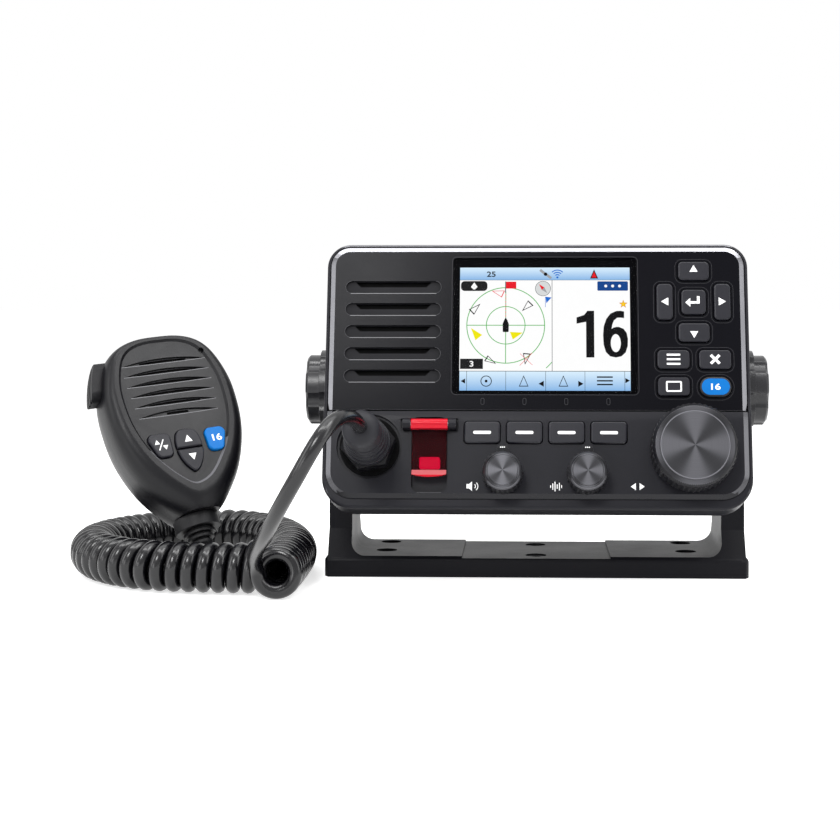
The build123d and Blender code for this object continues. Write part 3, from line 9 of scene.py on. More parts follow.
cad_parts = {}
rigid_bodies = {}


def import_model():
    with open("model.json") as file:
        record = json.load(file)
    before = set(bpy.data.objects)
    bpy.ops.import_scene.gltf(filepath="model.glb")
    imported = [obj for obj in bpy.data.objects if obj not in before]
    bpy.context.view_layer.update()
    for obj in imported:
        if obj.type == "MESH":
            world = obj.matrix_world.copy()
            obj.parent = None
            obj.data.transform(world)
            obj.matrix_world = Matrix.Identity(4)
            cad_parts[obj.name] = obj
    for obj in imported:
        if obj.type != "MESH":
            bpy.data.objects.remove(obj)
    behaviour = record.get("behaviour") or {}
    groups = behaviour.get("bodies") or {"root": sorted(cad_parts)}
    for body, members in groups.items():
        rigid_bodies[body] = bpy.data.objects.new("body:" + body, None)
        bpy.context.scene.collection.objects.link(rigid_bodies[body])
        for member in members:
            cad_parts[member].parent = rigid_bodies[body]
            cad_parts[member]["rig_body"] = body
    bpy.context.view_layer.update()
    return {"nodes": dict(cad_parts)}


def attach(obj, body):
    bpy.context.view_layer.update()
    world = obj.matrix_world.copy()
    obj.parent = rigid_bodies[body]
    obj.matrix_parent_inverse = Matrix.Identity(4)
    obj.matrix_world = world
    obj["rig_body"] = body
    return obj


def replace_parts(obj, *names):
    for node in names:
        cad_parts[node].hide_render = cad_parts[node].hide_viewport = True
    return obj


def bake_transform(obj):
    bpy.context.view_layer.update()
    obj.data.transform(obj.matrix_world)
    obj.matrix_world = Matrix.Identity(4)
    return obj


bl_info = {
    "name": "Marine radio finish",
    "version": (1, 0, 0),
    "blender": (4, 5, 0),
    "location": "View3D > Sidebar > Radio",
    "description": "Dresses a bracket-mounted marine radio and its fist microphone",
    "category": "Object",
}

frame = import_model()
NODES = frame["nodes"]

MM = 0.001
PIVOT_Z = 79.5 * MM
LEAN_BACK = math.radians(15.0)

# Upright places on the radio, in millimetres about the tilt pivot
PANEL_FACE = -46.6
KEY_FACE = -47.6
CONTROL_FACE = -48.6
SOFT_KEY_FACE = -49.6
DISPLAY_FACE = -45.4
DISC_FACE = CONTROL_FACE - 7.7
DISPLAY_CENTRE = (3.4, 16.6)
DISPLAY_SIZE = (71.7, 53.4)
WINDOW_CENTRE = (3.4, 17.8)
WINDOW_SIZE = (77.4, 58.8)
SOFT_KEYS = ((-22.6, -28.5), (-5.1, -28.5), (12.3, -28.5), (29.8, -28.5))
SOFT_KEY_MARK_Z = -14.9
# name: x, z, width, height, corner radius
PANEL_KEYS = {
    "up": (66.0, 41.3, 13.2, 8.2, 2.0),
    "left": (53.7, 27.9, 7.0, 15.8, 2.0),
    "enter": (65.8, 27.8, 10.5, 10.9, 2.0),
    "right": (77.8, 27.9, 7.1, 15.8, 2.0),
    "down": (65.8, 14.6, 13.2, 8.2, 2.0),
    "menu": (57.0, 3.0, 13.6, 8.3, 2.0),
    "clear": (74.3, 3.0, 13.6, 8.3, 2.0),
    "display": (57.0, -8.6, 13.4, 8.2, 2.0),
    "sixteen": (74.3, -8.7, 13.2, 8.7, 4.2),
}
SLOT_X, SLOT_TOP, SLOT_STEP, SLOT_COUNT = -60.6, 34.4, 9.61, 5
SLOT_LENGTH, SLOT_HEIGHT = 40.3, 5.2
PANEL_HALF, PANEL_LOW, PANEL_HIGH, PANEL_CORNER = 87.3, -18.6, 52.0, 8.2
CONTROL_LOW, CONTROL_HIGH, CONTROL_CORNER = -56.0, -19.4, 11.3
BAND = 2.0
RIM_TOP_LOW = 52.4
SLOT_FLOOR_BACK, SLOT_FLOOR_FRONT, SLOT_SIDE = -45.2, -46.0, -38.0
COVER_X, COVER_HEAD, COVER_LIP, COVER_FOOT, COVER_REST_Z = -44.4, -28.6, -43.5, -45.6, -53.78
CHANNEL_KNOB = (63.9, -36.0)
# name: radius of the disc, radius at which the turned front has its painted lighter rim, and how far that front
# reaches
KNOB_METAL = {"channel": (14.3, 100.0, 16.3), "volume": (7.6, 7.6, 8.1), "squelch": (7.6, 7.6, 8.1)}
KNOB_FRONT = -60.0
LEVEL_KNOBS = {"volume": (-14.0, -46.3), "squelch": (20.7, -46.3)}

# The microphone stands about its neck, in millimetres, and is turned by these angles in degrees
MIC_NECK = (-145.8, -42.0, 30.4)
MIC_YAW, MIC_LEAN, MIC_ROLL = 31.5, 27.6, 6.2
MIC_KEY_FACE = -16.6
MIC_FLOOR = -15.2
INSERT_BACK, INSERT_FRONT, INSERT_FOOT_TOP = -15.1, -16.05, 24.0
GRILLE_TOP, GRILLE_PITCH, GRILLE_SAG = 62.7, 4.84, 0.2
GRILLE_HALVES = (19.2, 19.4, 19.3, 19.0, 18.6, 18.0)

# The cord's route in millimetres, along the tubes of its solids
LEAD_ROUTE = (
    (-69.4, -97.96, 70.14),
    (-69.4, -116.31, 75.05),
    (-74.5, -134.0, 76.5),
    (-80.0, -144.0, 69.5),
    (-87.5, -145.0, 56.0),
    (-96.0, -137.0, 42.0),
    (-103.5, -122.0, 30.0),
    (-108.7, -107.0, 23.0),
    (-111.3, -97.0, 18.2),
    (-111.6, -91.8, 15.2),
    (-111.6, -89.1, 12.6),
)
COIL_ROUTE = (
    (-104.0, -88.0, 10.5),
    (-103.5, -47.0, 10.5),
    (-106.0, -15.0, 10.5),
    (-116.5, 17.0, 10.5),
    (-137.0, 40.0, 10.5),
    (-163.0, 41.0, 10.5),
    (-185.0, 20.0, 10.5),
    (-195.0, -10.0, 10.5),
    (-189.0, -40.0, 10.5),
    (-170.0, -62.0, 10.5),
    (-147.0, -72.5, 10.5),
    (-115.0, -73.5, 10.5),
)
TAIL_ROUTE = (
    (-115.1, -77.4, 17.2),
    (-114.8, -73.2, 19.2),
    (-115.2, -68.2, 18.3),
    (-118.5, -62.5, 12.5),
    (-124.5, -59.5, 7.0),
    (-130.5, -59.5, 5.0),
    (-138.15, -49.74, 10.14),
    (-140.14, -47.72, 15.42),
    (-142.14, -45.70, 20.71),
)


def radio_place():
    """From upright radio coordinates to the leaning radio."""
    return Matrix.Translation((0, 0, PIVOT_Z)) @ Matrix.Rotation(-LEAN_BACK, 4, "X")


def microphone_place():
    """From upright microphone coordinates to where the microphone stands."""
    yaw, lean, roll = (math.radians(a) for a in (MIC_YAW, MIC_LEAN, MIC_ROLL))
    right = Vector((math.cos(yaw), math.sin(yaw), 0))
    up = Vector((-math.sin(yaw) * math.sin(lean), math.cos(yaw) * math.sin(lean), math.cos(lean)))
    across = right * math.cos(roll) + up * math.sin(roll)
    upward = up * math.cos(roll) - right * math.sin(roll)
    back = upward.cross(across)
    turned = Matrix((across, back, upward)).transposed().to_4x4()
    return Matrix.Translation(Vector(MIC_NECK) * MM) @ turned


def on_face(place, face):
    """From a flat drawing (x right, y up, z outward) to a front face at that depth in millimetres."""
    return place @ Matrix.Translation((0, face * MM, 0)) @ Matrix.Rotation(math.radians(90), 4, "X")


# Angles in degrees, and tolerances, of the softened copies
BEVEL_ANGLE, SMOOTH_ANGLE, FLAT_ANGLE = 28.0, 24.0, 0.8
MERGE_DISTANCE = 0.000004
FIGURE_BOLD = 0.02


# ---------------------------------------------------------------- settings
def length_setting(name, description, default):
    return bpy.props.FloatProperty(
        name=name, description=description, default=default, min=0.0, unit="LENGTH", precision=5)


def colour_setting(name, description, default):
    return bpy.props.FloatVectorProperty(
        name=name, description=description, default=default, size=3, min=0.0, max=1.0, subtype="COLOR")


class RadioSizes(bpy.types.PropertyGroup):
    case_ease: length_setting("Case edge", "Radius that softens the mouldings' edges", 0.00035)
    key_ease: length_setting("Key edge", "Radius that softens the key caps' edges", 0.0003)
    print_height: length_setting("Print height", "How far printed signs stand off their face", 0.00004)
    cord_diameter: length_setting("Cord diameter", "Outside diameter of the microphone cord", 0.006)
    helix_radius: length_setting("Helix radius", "Radius of the cord's turns, to its own middle", 0.0075)
    helix_pitch: length_setting("Helix pitch", "Step from one turn of the curly cord to the next", 0.0062)


class RadioColours(bpy.types.PropertyGroup):
    panel: colour_setting("Upper panel", "Glossy panel round the screen", (0.0030, 0.0030, 0.0046))
    case: colour_setting("Case", "Lower panel and rim of the case", (0.0085, 0.0085, 0.0115))
    key: colour_setting("Keys", "Rubber of the key caps", (0.007, 0.007, 0.011))
    blue_key: colour_setting("Blue keys", "Channel keys", (0.001, 0.130, 0.43))
    bracket: colour_setting("Bracket", "Mounting bracket and clamp knobs", (0.0060, 0.0060, 0.0080))
    microphone: colour_setting("Microphone", "Microphone case", (0.0018, 0.0018, 0.003))
    cord: colour_setting("Cord", "Curly cord and boots", (0.0022, 0.0022, 0.0032))
    metal: colour_setting("Spun metal", "Discs on the knobs", (0.075, 0.075, 0.083))
    # Colour of the painted reflection on the sloping bands, not a colour of the plastic itself
    edge: colour_setting("Bright edge", "Sloping band round the upper panel", (0.11, 0.11, 0.118))
    red: colour_setting("Red", "Distress cover and button", (0.70, 0.004, 0.022))
    sign: colour_setting("Signs", "Printed signs", (0.86, 0.86, 0.86))


class RadioStage(bpy.types.PropertyGroup):
    lens: bpy.props.FloatProperty(
        name="Lens", description="Focal length of the camera on a 36 mm sensor", default=76.7, min=1.0,
        unit="CAMERA")
    floor: colour_setting("Floor", "Floor and backdrop", (0.8, 0.8, 0.8))


GROUPS = (("radio_sizes", RadioSizes), ("radio_colours", RadioColours), ("radio_stage", RadioStage))


def sizes():
    return bpy.context.scene.radio_sizes


def colours():
    return bpy.context.scene.radio_colours


# ---------------------------------------------------------------- shader helpers
def add_node(tree, kind, inputs=None, **settings):
    """Add a node; an input given as a socket is linked, any other value is set."""
    node = tree.nodes.new(kind)
    for key, value in settings.items():
        setattr(node, key, value)
    for key, value in (inputs or {}).items():
        if isinstance(value, bpy.types.NodeSocket):
            tree.links.new(value, node.inputs[key])
        else:
            node.inputs[key].default_value = value
    return node


def new_group(name, inputs, outputs):
    group = bpy.data.node_groups.new(name, "ShaderNodeTree")
    for label, kind, default in inputs:
        socket = group.interface.new_socket(label, in_out="INPUT", socket_type=kind)
        socket.default_value = default
    for label, kind in outputs:
        group.interface.new_socket(label, in_out="OUTPUT", socket_type=kind)
    return group, group.nodes.new("NodeGroupInput"), group.nodes.new("NodeGroupOutput")


def mix_colours(tree, share, low, high):
    """From one colour to another by a share; each colour is plain or comes from a socket."""
    node = add_node(tree, "ShaderNodeMix", {0: share, 6: low, 7: high}, data_type="RGBA")
    return node.outputs[2]


def calculate(tree, operation, *values, **settings):
    """One arithmetic step on numbers or sockets."""
    node = add_node(tree, "ShaderNodeMath", dict(enumerate(values)), operation=operation, **settings)
    return node.outputs["Value"]


def spread_noise(tree, noise, low, high):
    """The middle of a noise's values, stretched from low to high."""
    node = add_node(tree, "ShaderNodeMapRange", {
        "Value": noise, "From Min": 0.3, "From Max": 0.7, "To Min": low, "To Max": high})
    return node.outputs["Result"]


def seen_directly(tree):
    """1 where the surface itself is seen, also in a reflection or through glass, and 0 where it only lights."""
    path = add_node(tree, "ShaderNodeLightPath")
    seen = calculate(tree, "MAXIMUM", path.outputs["Is Camera Ray"], path.outputs["Is Glossy Ray"])
    return calculate(tree, "MAXIMUM", seen, path.outputs["Is Transmission Ray"])


def moulded_grain():
    """Fine moulded texture, with a slow cloudiness that varies the gloss."""
    group = bpy.data.node_groups.get("Moulded grain")
    if group:
        return group
    group, entry, leave = new_group(
        "Moulded grain",
        [("Grain Scale", "NodeSocketFloat", 2600.0), ("Cloud Scale", "NodeSocketFloat", 40.0)],
        [("Height", "NodeSocketFloat"), ("Cloud", "NodeSocketFloat")])
    place = add_node(group, "ShaderNodeTexCoord").outputs["Object"]
    grain = add_node(group, "ShaderNodeTexNoise", {
        "Vector": place, "Scale": entry.outputs["Grain Scale"], "Detail": 2.0, "Roughness": 0.6})
    cloud = add_node(group, "ShaderNodeTexNoise", {
        "Vector": place, "Scale": entry.outputs["Cloud Scale"], "Detail": 4.0, "Roughness": 0.65})
    group.links.new(grain.outputs["Fac"], leave.inputs["Height"])
    group.links.new(cloud.outputs["Fac"], leave.inputs["Cloud"])
    return group


def edge_wear():
    """Lightens a colour along convex edges, where handling polishes it."""
    group = bpy.data.node_groups.get("Edge wear")
    if group:
        return group
    group, entry, leave = new_group(
        "Edge wear",
        [("Colour", "NodeSocketColor", (0.5, 0.5, 0.5, 1)), ("Edge Colour", "NodeSocketColor", (1, 1, 1, 1)),
         ("Amount", "NodeSocketFloat", 0.3)],
        [("Colour", "NodeSocketColor")])
    pointed = add_node(group, "ShaderNodeNewGeometry").outputs["Pointiness"]
    mask = add_node(group, "ShaderNodeMapRange", {
        "Value": pointed, "From Min": 0.52, "From Max": 0.60, "To Min": 0.0, "To Max": 1.0})
    place = add_node(group, "ShaderNodeTexCoord").outputs["Object"]
    patch = add_node(group, "ShaderNodeTexNoise", {"Vector": place, "Scale": 160.0, "Detail": 3.0})
    worn = calculate(group, "MULTIPLY", mask.outputs["Result"], patch.outputs["Fac"])
    share = calculate(group, "MULTIPLY", worn, entry.outputs["Amount"], use_clamp=True)
    mixed = mix_colours(group, share, entry.outputs["Colour"], entry.outputs["Edge Colour"])
    group.links.new(mixed, leave.inputs["Colour"])
    return group


def use_group(tree, group, inputs):
    node = tree.nodes.new("ShaderNodeGroup")
    node.node_tree = group
    for key, value in inputs.items():
        node.inputs[key].default_value = value
    return node


def rgba(colour, factor=1.0):
    return tuple(min(1.0, c * factor) for c in colour) + (1.0,)


def tinted(colour, factor):
    return [c * factor for c in colour]


def new_material(name, **settings):
    """A material with these values on its Principled shader."""
    material = bpy.data.materials.new(name)
    material.use_nodes = True
    tree = material.node_tree
    shader = tree.nodes["Principled BSDF"]
    for key, value in settings.items():
        shader.inputs[key.replace("_", " ")].default_value = value
    return material, tree, shader


def plastic(name, colour, roughness, grain=2600.0, depth=0.03, worn=0.35, spread=0.08, **settings):
    """Moulded plastic, rubber or metal: fine grain, uneven gloss and lighter edges. Depth is in millimetres."""
    settings.setdefault("Specular_IOR_Level", 0.25)
    material, tree, shader = new_material(name, **settings)
    mould = use_group(tree, moulded_grain(), {"Grain Scale": grain, "Cloud Scale": 35.0})
    if worn:
        wear = use_group(tree, edge_wear(), {
            "Colour": rgba(colour), "Edge Colour": rgba([c + 0.05 for c in colour]), "Amount": worn})
        tree.links.new(wear.outputs["Colour"], shader.inputs["Base Color"])
    else:
        shader.inputs["Base Color"].default_value = rgba(colour)
    gloss = spread_noise(tree, mould.outputs["Cloud"], roughness - spread, roughness + spread)
    tree.links.new(gloss, shader.inputs["Roughness"])
    bump = add_node(tree, "ShaderNodeBump", {
        "Strength": 1.0, "Distance": depth * MM, "Height": mould.outputs["Height"]})
    tree.links.new(bump.outputs["Normal"], shader.inputs["Normal"])
    return material


# The disc's painted highlight rays, and where its painted lighter rim and the painted highlight line on it lie,
# as shares of its radius
PAINTED_RAY_COUNT = 4.0
RIM_SHARE, RIM_HIGHLIGHT_SHARE, RIM_HIGHLIGHT_HALF = 0.965, 0.972, 0.010


def spun_metal_painted_rays(name, place, centre, colour, radius):
    """Metal turned on a lathe: fine rings, four painted highlight rays, a painted lighter rim and a painted
    highlight line on it, about the disc's own axis.
    """
    material, tree, shader = new_material(name, Metallic=0.85, Roughness=0.32)
    axis = (place @ Matrix.Translation(Vector(centre) * MM)).inverted()
    local = add_node(tree, "ShaderNodeMapping", {
        "Vector": add_node(tree, "ShaderNodeTexCoord").outputs["Object"],
        "Location": axis.to_translation(), "Rotation": tuple(axis.to_euler())})
    split = add_node(tree, "ShaderNodeSeparateXYZ", {0: local.outputs["Vector"]})
    flat = add_node(tree, "ShaderNodeCombineXYZ", {0: split.outputs["X"], 2: split.outputs["Z"]})
    away = add_node(tree, "ShaderNodeVectorMath", {0: flat.outputs["Vector"]}, operation="LENGTH")
    rings = add_node(tree, "ShaderNodeTexNoise", {
        "W": away.outputs["Value"], "Scale": 5200.0, "Detail": 3.0, "Roughness": 0.7}, noise_dimensions="1D")
    # Four lighter sectors between darker ones: painted highlight rays that stand in for the lamps' reflections
    # in the turned rings
    turn = calculate(tree, "ARCTAN2", split.outputs["Z"], split.outputs["X"])
    wave = calculate(tree, "COSINE", calculate(tree, "MULTIPLY", turn, PAINTED_RAY_COUNT))
    rays = add_node(tree, "ShaderNodeMapRange", {
        "Value": wave, "From Min": -1.1, "From Max": 1.0, "To Min": 0.0, "To Max": 1.0},
        interpolation_type="SMOOTHSTEP")
    shade = mix_colours(tree, rays.outputs["Result"], rgba(colour, 0.40), rgba(colour, 1.25))
    grooved = add_node(tree, "ShaderNodeVectorMath", {
        0: shade, 1: spread_noise(tree, rings.outputs["Fac"], 0.85, 1.15)}, operation="MULTIPLY")
    share = calculate(tree, "DIVIDE", away.outputs["Value"], radius * MM)
    # A lighter rim with a brighter line on it: a painted highlight where a raised rim would catch the light
    on_lighter_rim = calculate(tree, "GREATER_THAN", share, RIM_SHARE)
    rimmed = mix_colours(tree, on_lighter_rim, grooved.outputs["Vector"], rgba(colour, 1.1))
    on_rim_highlight = calculate(tree, "COMPARE", share, RIM_HIGHLIGHT_SHARE, RIM_HIGHLIGHT_HALF)
    tree.links.new(mix_colours(tree, on_rim_highlight, rimmed, rgba(colour, 2.2)), shader.inputs["Base Color"])
    tree.links.new(spread_noise(tree, rings.outputs["Fac"], 0.28, 0.38), shader.inputs["Roughness"])
    return material


def printed(name, colour, roughness=0.55, glow=0.0, shine=0.2):
    """Ink, painted highlight lines and lit areas, a little uneven; a lit one is nearly black itself and has its
    colour in its glow.
    """
    found = bpy.data.materials.get(name)
    if found:
        return found
    material, tree, shader = new_material(name, Roughness=roughness, Specular_IOR_Level=shine)
    mould = use_group(tree, moulded_grain(), {"Grain Scale": 1800.0, "Cloud Scale": 220.0})
    shade = mix_colours(tree, mould.outputs["Cloud"], rgba(colour, 0.96), rgba(colour, 1.04))
    if glow:
        shader.inputs["Base Color"].default_value = (0.004, 0.004, 0.004, 1)
        tree.links.new(shade, shader.inputs["Emission Color"])
        shader.inputs["Emission Strength"].default_value = glow
    else:
        tree.links.new(shade, shader.inputs["Base Color"])
    return material


def sign_white():
    return printed("sign_white", colours().sign)


# A soft painted highlight line along lit lips and edges
def soft_painted_highlight():
    return printed("soft_painted_highlight", (0.055, 0.055, 0.06))


# ---------------------------------------------------------------- modelling helpers
def select_only(*objects):
    bpy.ops.object.select_all(action="DESELECT")
    for obj in objects:
        obj.select_set(True)
    bpy.context.view_layer.objects.active = objects[0]


def shape_up(obj, kind, **settings):
    """Add a modifier with these settings and apply it."""
    select_only(obj)
    bpy.ops.object.modifier_add(type=kind)
    modifier = obj.modifiers[-1]
    for key, value in settings.items():
        setattr(modifier, key, value)
    bpy.ops.object.modifier_apply(modifier=modifier.name)


def smooth(obj, degrees):
    select_only(obj)
    bpy.ops.object.shade_smooth_by_angle(angle=math.radians(degrees))


def settle(obj, name, body, material, place=None):
    """Name a finished piece, put its place in its mesh, give it its finish and its body."""
    obj.name = name
    if place is not None:
        obj.data.transform(place)
    obj.data.materials.clear()
    obj.data.materials.append(material)
    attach(obj, body)
    return obj


def body_of_node(node):
    return NODES[node]["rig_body"]


def merged_copy(node):
    """The node's shape as a mesh of its own, with its facets joined to flat faces."""
    mesh = NODES[node].data.copy()
    obj = bpy.data.objects.new(node + "_copy", mesh)
    bpy.context.scene.collection.objects.link(obj)
    select_only(obj)
    bpy.ops.object.mode_set(mode="EDIT")
    bpy.ops.mesh.select_all(action="SELECT")
    bpy.ops.mesh.remove_doubles(threshold=MERGE_DISTANCE)
    bpy.ops.mesh.customdata_custom_splitnormals_clear()
    bpy.ops.mesh.dissolve_limited(angle_limit=math.radians(FLAT_ANGLE))
    bpy.ops.object.mode_set(mode="OBJECT")
    return obj


def eased_copy(node, name, ease, material, segments=3):
    """A copy of a node with softened edges, which stands for the node."""
    obj = merged_copy(node)
    shape_up(
        obj, "BEVEL", width=ease, segments=segments, limit_method="ANGLE",
        angle_limit=math.radians(BEVEL_ANGLE), miter_outer="MITER_ARC", use_clamp_overlap=True)
    smooth(obj, SMOOTH_ANGLE)
    shape_up(obj, "WEIGHTED_NORMAL", mode="FACE_AREA", weight=100, keep_sharp=True)
    settle(obj, name, body_of_node(node), material)
    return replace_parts(obj, node)


def paint_nodes(material, *nodes):
    """Give CAD nodes a better finish on their own material slots."""
    for node in nodes:
        mesh = NODES[node].data
        if not mesh.materials:
            mesh.materials.append(material)
        for index in range(len(mesh.materials)):
            mesh.materials[index] = material


def paint_part(obj, material, place, chosen):
    """Another finish for the faces that a test picks by their centre in millimetres and their normal."""
    obj.data.materials.append(material)
    inward = place.inverted()
    turn = inward.to_3x3()
    for face in obj.data.polygons:
        if chosen(inward @ face.center / MM, turn @ face.normal):
            face.material_index = len(obj.data.materials) - 1


def rim_distance(x, z, half, low, high, corner):
    """How far a point lies outside a rounded outline, or inside it as a negative length."""
    dx = abs(x) - (half - corner)
    dz = abs(z - (low + high) / 2) - ((high - low) / 2 - corner)
    return math.hypot(max(dx, 0.0), max(dz, 0.0)) + min(max(dx, dz), 0.0) - corner


def drawn(loops, height):
    """A thin plate with these outlines in millimetres; an outline inside another one cuts a hole."""
    curve = bpy.data.curves.new("drawing", "CURVE")
    curve.dimensions = "2D"
    curve.fill_mode = "BOTH"
    curve.extrude = height / 2
    for loop in loops:
        spline = curve.splines.new("POLY")
        spline.points.add(len(loop) - 1)
        for point, (x, y) in zip(spline.points, loop):
            point.co = (x * MM, y * MM, 0, 1)
        spline.use_cyclic_u = True
    obj = bpy.data.objects.new("drawing", curve)
    bpy.context.scene.collection.objects.link(obj)
    select_only(obj)
    bpy.ops.object.convert(target="MESH")
    return bpy.context.view_layer.objects.active


def lettered(text, height, width, at):
    """Plain figures as a thin plate, this tall and wide in millimetres, centred on a point."""
    bpy.ops.object.select_all(action="DESELECT")
    bpy.ops.object.text_add()
    obj = bpy.context.view_layer.objects.active
    obj.data.body = text
    obj.data.offset = FIGURE_BOLD
    obj.data.extrude = sizes().print_height / 2
    bpy.ops.object.convert(target="MESH")
    obj = bpy.context.view_layer.objects.active
    points = [v.co for v in obj.data.vertices]
    low = Vector((min(p.x for p in points), min(p.y for p in points), 0))
    high = Vector((max(p.x for p in points), max(p.y for p in points), 0))
    tall = height * MM / (high.y - low.y)
    wide = width * MM / (high.x - low.x)
    middle = (low + high) / 2
    obj.data.transform(
        Matrix.Translation((at[0] * MM, at[1] * MM, 0)) @ Matrix.Diagonal((wide, tall, 1, 1))
        @ Matrix.Translation(-middle))
    return obj


def box(x0, y0, x1, y1):
    return [(x0, y0), (x1, y0), (x1, y1), (x0, y1)]


def soft_box(x, y, width, height, radius, steps=6):
    """A rounded rectangle about a point."""
    loop = []
    for corner, (sx, sy) in enumerate(((1, 1), (-1, 1), (-1, -1), (1, -1))):
        cx, cy = x + sx * (width / 2 - radius), y + sy * (height / 2 - radius)
        for step in range(steps + 1):
            angle = math.pi / 2 * (corner + step / steps)
            loop.append((cx + radius * math.cos(angle), cy + radius * math.sin(angle)))
    return loop


def circle(x, y, radius, steps=48, start=0.0, sweep=360.0):
    turns = [math.radians(start + sweep * i / steps) for i in range(steps + (sweep < 360))]
    return [(x + radius * math.cos(a), y + radius * math.sin(a)) for a in turns]


def ring(x, y, radius, width, steps=64):
    return [circle(x, y, radius + width / 2, steps), circle(x, y, radius - width / 2, steps)]


def arc_band(x, y, radius, width, start, sweep, steps=16):
    outer = circle(x, y, radius + width / 2, steps, start, sweep)
    inner = circle(x, y, radius - width / 2, steps, start, sweep)
    return outer + inner[::-1]


def line(x0, y0, x1, y1, width):
    """A straight stroke between two points."""
    run = Vector((x1 - x0, y1 - y0))
    side = Vector((-run.y, run.x)).normalized() * width / 2
    ends = ((x0, y0, 1), (x1, y1, 1), (x1, y1, -1), (x0, y0, -1))
    return [(x + way * side.x, y + way * side.y) for x, y, way in ends]


def triangle(x, y, size, degrees, slim=0.58):
    """A filled arrow head that points that way from the right, counter-clockwise."""
    cos, sin = math.cos(math.radians(degrees)), math.sin(math.radians(degrees))
    shape = [(size * 0.5, 0), (-size * 0.5, size * slim), (-size * 0.5, -size * slim)]
    return [(x + a * cos - b * sin, y + a * sin + b * cos) for a, b in shape]


def raised(place, lift):
    """The same place, moved outward by a few hundredths of a millimetre."""
    return place @ Matrix.Translation((0, 0, lift * MM))


def sign(name, loops, place, body, slot, lift=0.02, material=None):
    """A printed sign or painted highlight line drawn on a face."""
    obj = drawn(loops, sizes().print_height)
    return settle(obj, name, body, material or sign_white(), raised(place, lift))


# ---------------------------------------------------------------- pieces
def dress_bracket():
    bracket = plastic(
        "bracket_grain", colours().bracket, 0.42, grain=1500.0, depth=0.05, worn=0.0, spread=0.04,
        Specular_IOR_Level=0.1)
    eased_copy("bracket", "bracket_moulding", 0.0006, bracket)
    knob = plastic(
        "clamp_knob_grain", tinted(colours().bracket, 1.2), 0.28, grain=1700.0, worn=0.5,
        Specular_IOR_Level=0.45)
    for side in ("left", "right"):
        eased_copy(side + "_clamp_knob", side + "_clamp_grip", 0.0006, knob)
    paint_nodes(plastic("washer_rubber", (0.012, 0.012, 0.012), 0.7), "friction_washers")


def on_band(centre, normal, low, high, corner):
    """True on the sloping band that runs round a panel."""
    near = rim_distance(centre.x, centre.z, PANEL_HALF, low, high, corner) > -BAND - 0.1
    return near and -0.96 < normal.y < -0.7


def on_panel_band(centre, normal):
    return on_band(centre, normal, PANEL_LOW, PANEL_HIGH, PANEL_CORNER)


def on_control_band(centre, normal):
    inside = abs(centre.x) < PANEL_HALF and CONTROL_LOW < centre.z < CONTROL_HIGH
    in_front = centre.y < PANEL_FACE + 0.4
    return inside and in_front and on_band(centre, normal, CONTROL_LOW, CONTROL_HIGH, CONTROL_CORNER)


# Faces that get painted shade (the lower band's foot) and painted highlights (the upper band's top and the
# rim's top)
def on_control_foot(centre, normal):
    return on_control_band(centre, normal) and centre.z < CONTROL_LOW + BAND + 0.6


def on_panel_band_top(centre, normal):
    return on_panel_band(centre, normal) and normal.z > 0.25


def on_rim_top(centre, normal):
    return centre.z > RIM_TOP_LOW and normal.z > 0.4 and -0.95 < normal.y < -0.2


def on_slot_floor(centre, normal):
    return centre.x < SLOT_SIDE and SLOT_FLOOR_FRONT < centre.y < SLOT_FLOOR_BACK and normal.y < -0.9


# Metal on plastic bands and rim: a painted reflection that makes them show as bright as the lamps' reflections
# in glossy plastic
def painted_reflection_metal(name, colour):
    return plastic(name, colour, 0.26, grain=1800.0, depth=0.006, worn=0.0, spread=0.05, Metallic=1.0)


def dress_case():
    place = radio_place()
    case = plastic(
        "case_moulding", colours().case, 0.38, depth=0.02, worn=0.0, spread=0.03, Specular_IOR_Level=0.15)
    front = eased_copy("front_case", "front_moulding", sizes().case_ease, case, segments=2)
    edge = colours().edge
    # The lower panel's sloping band shows a painted reflection, its foot a darker painted shade and the rim's
    # top a brighter painted highlight
    paint_part(front, painted_reflection_metal("control_band_painted_reflection", tinted(edge, 0.62)), place, on_control_band)
    paint_part(front, painted_reflection_metal("control_foot_painted_shade", tinted(edge, 0.22)), place, on_control_foot)
    paint_part(front, painted_reflection_metal("rim_top_painted_highlight", tinted(edge, 1.5)), place, on_rim_top)
    panel = plastic(
        "upper_panel_gloss", colours().panel, 0.23, grain=3200.0, depth=0.004, worn=0.0, spread=0.02,
        Specular_IOR_Level=0.06)
    upper = eased_copy("display_panel", "upper_panel", 0.00012, panel, segments=2)
    # The upper panel's sloping band shows a painted reflection, and its up-facing top a brighter painted
    # highlight where the top lamps fall
    paint_part(upper, painted_reflection_metal("panel_band_painted_reflection", edge), place, on_panel_band)
    paint_part(upper, painted_reflection_metal("panel_band_top_painted_highlight", tinted(edge, 3.2)), place, on_panel_band_top)
    floor = plastic(
        "slot_floor", (0.016, 0.016, 0.018), 0.45, grain=3200.0, depth=0.01, worn=0.0, Specular_IOR_Level=0.05)
    paint_part(upper, floor, place, on_slot_floor)
    paint_nodes(plastic("pin_steel", (0.45, 0.45, 0.46), 0.3, Metallic=1.0), "hinge_pin")
    paint_lip_highlights(on_face(place, PANEL_FACE))
    # A painted highlight along the lower edge of the distress switch's recess
    rest = [box(COVER_X - 5.0, COVER_REST_Z, COVER_X + 5.0, COVER_REST_Z + 0.22)]
    sign("distress_recess_highlight", rest, on_face(place, CONTROL_FACE), "radio", "case_plastic", 0.02, soft_painted_highlight())


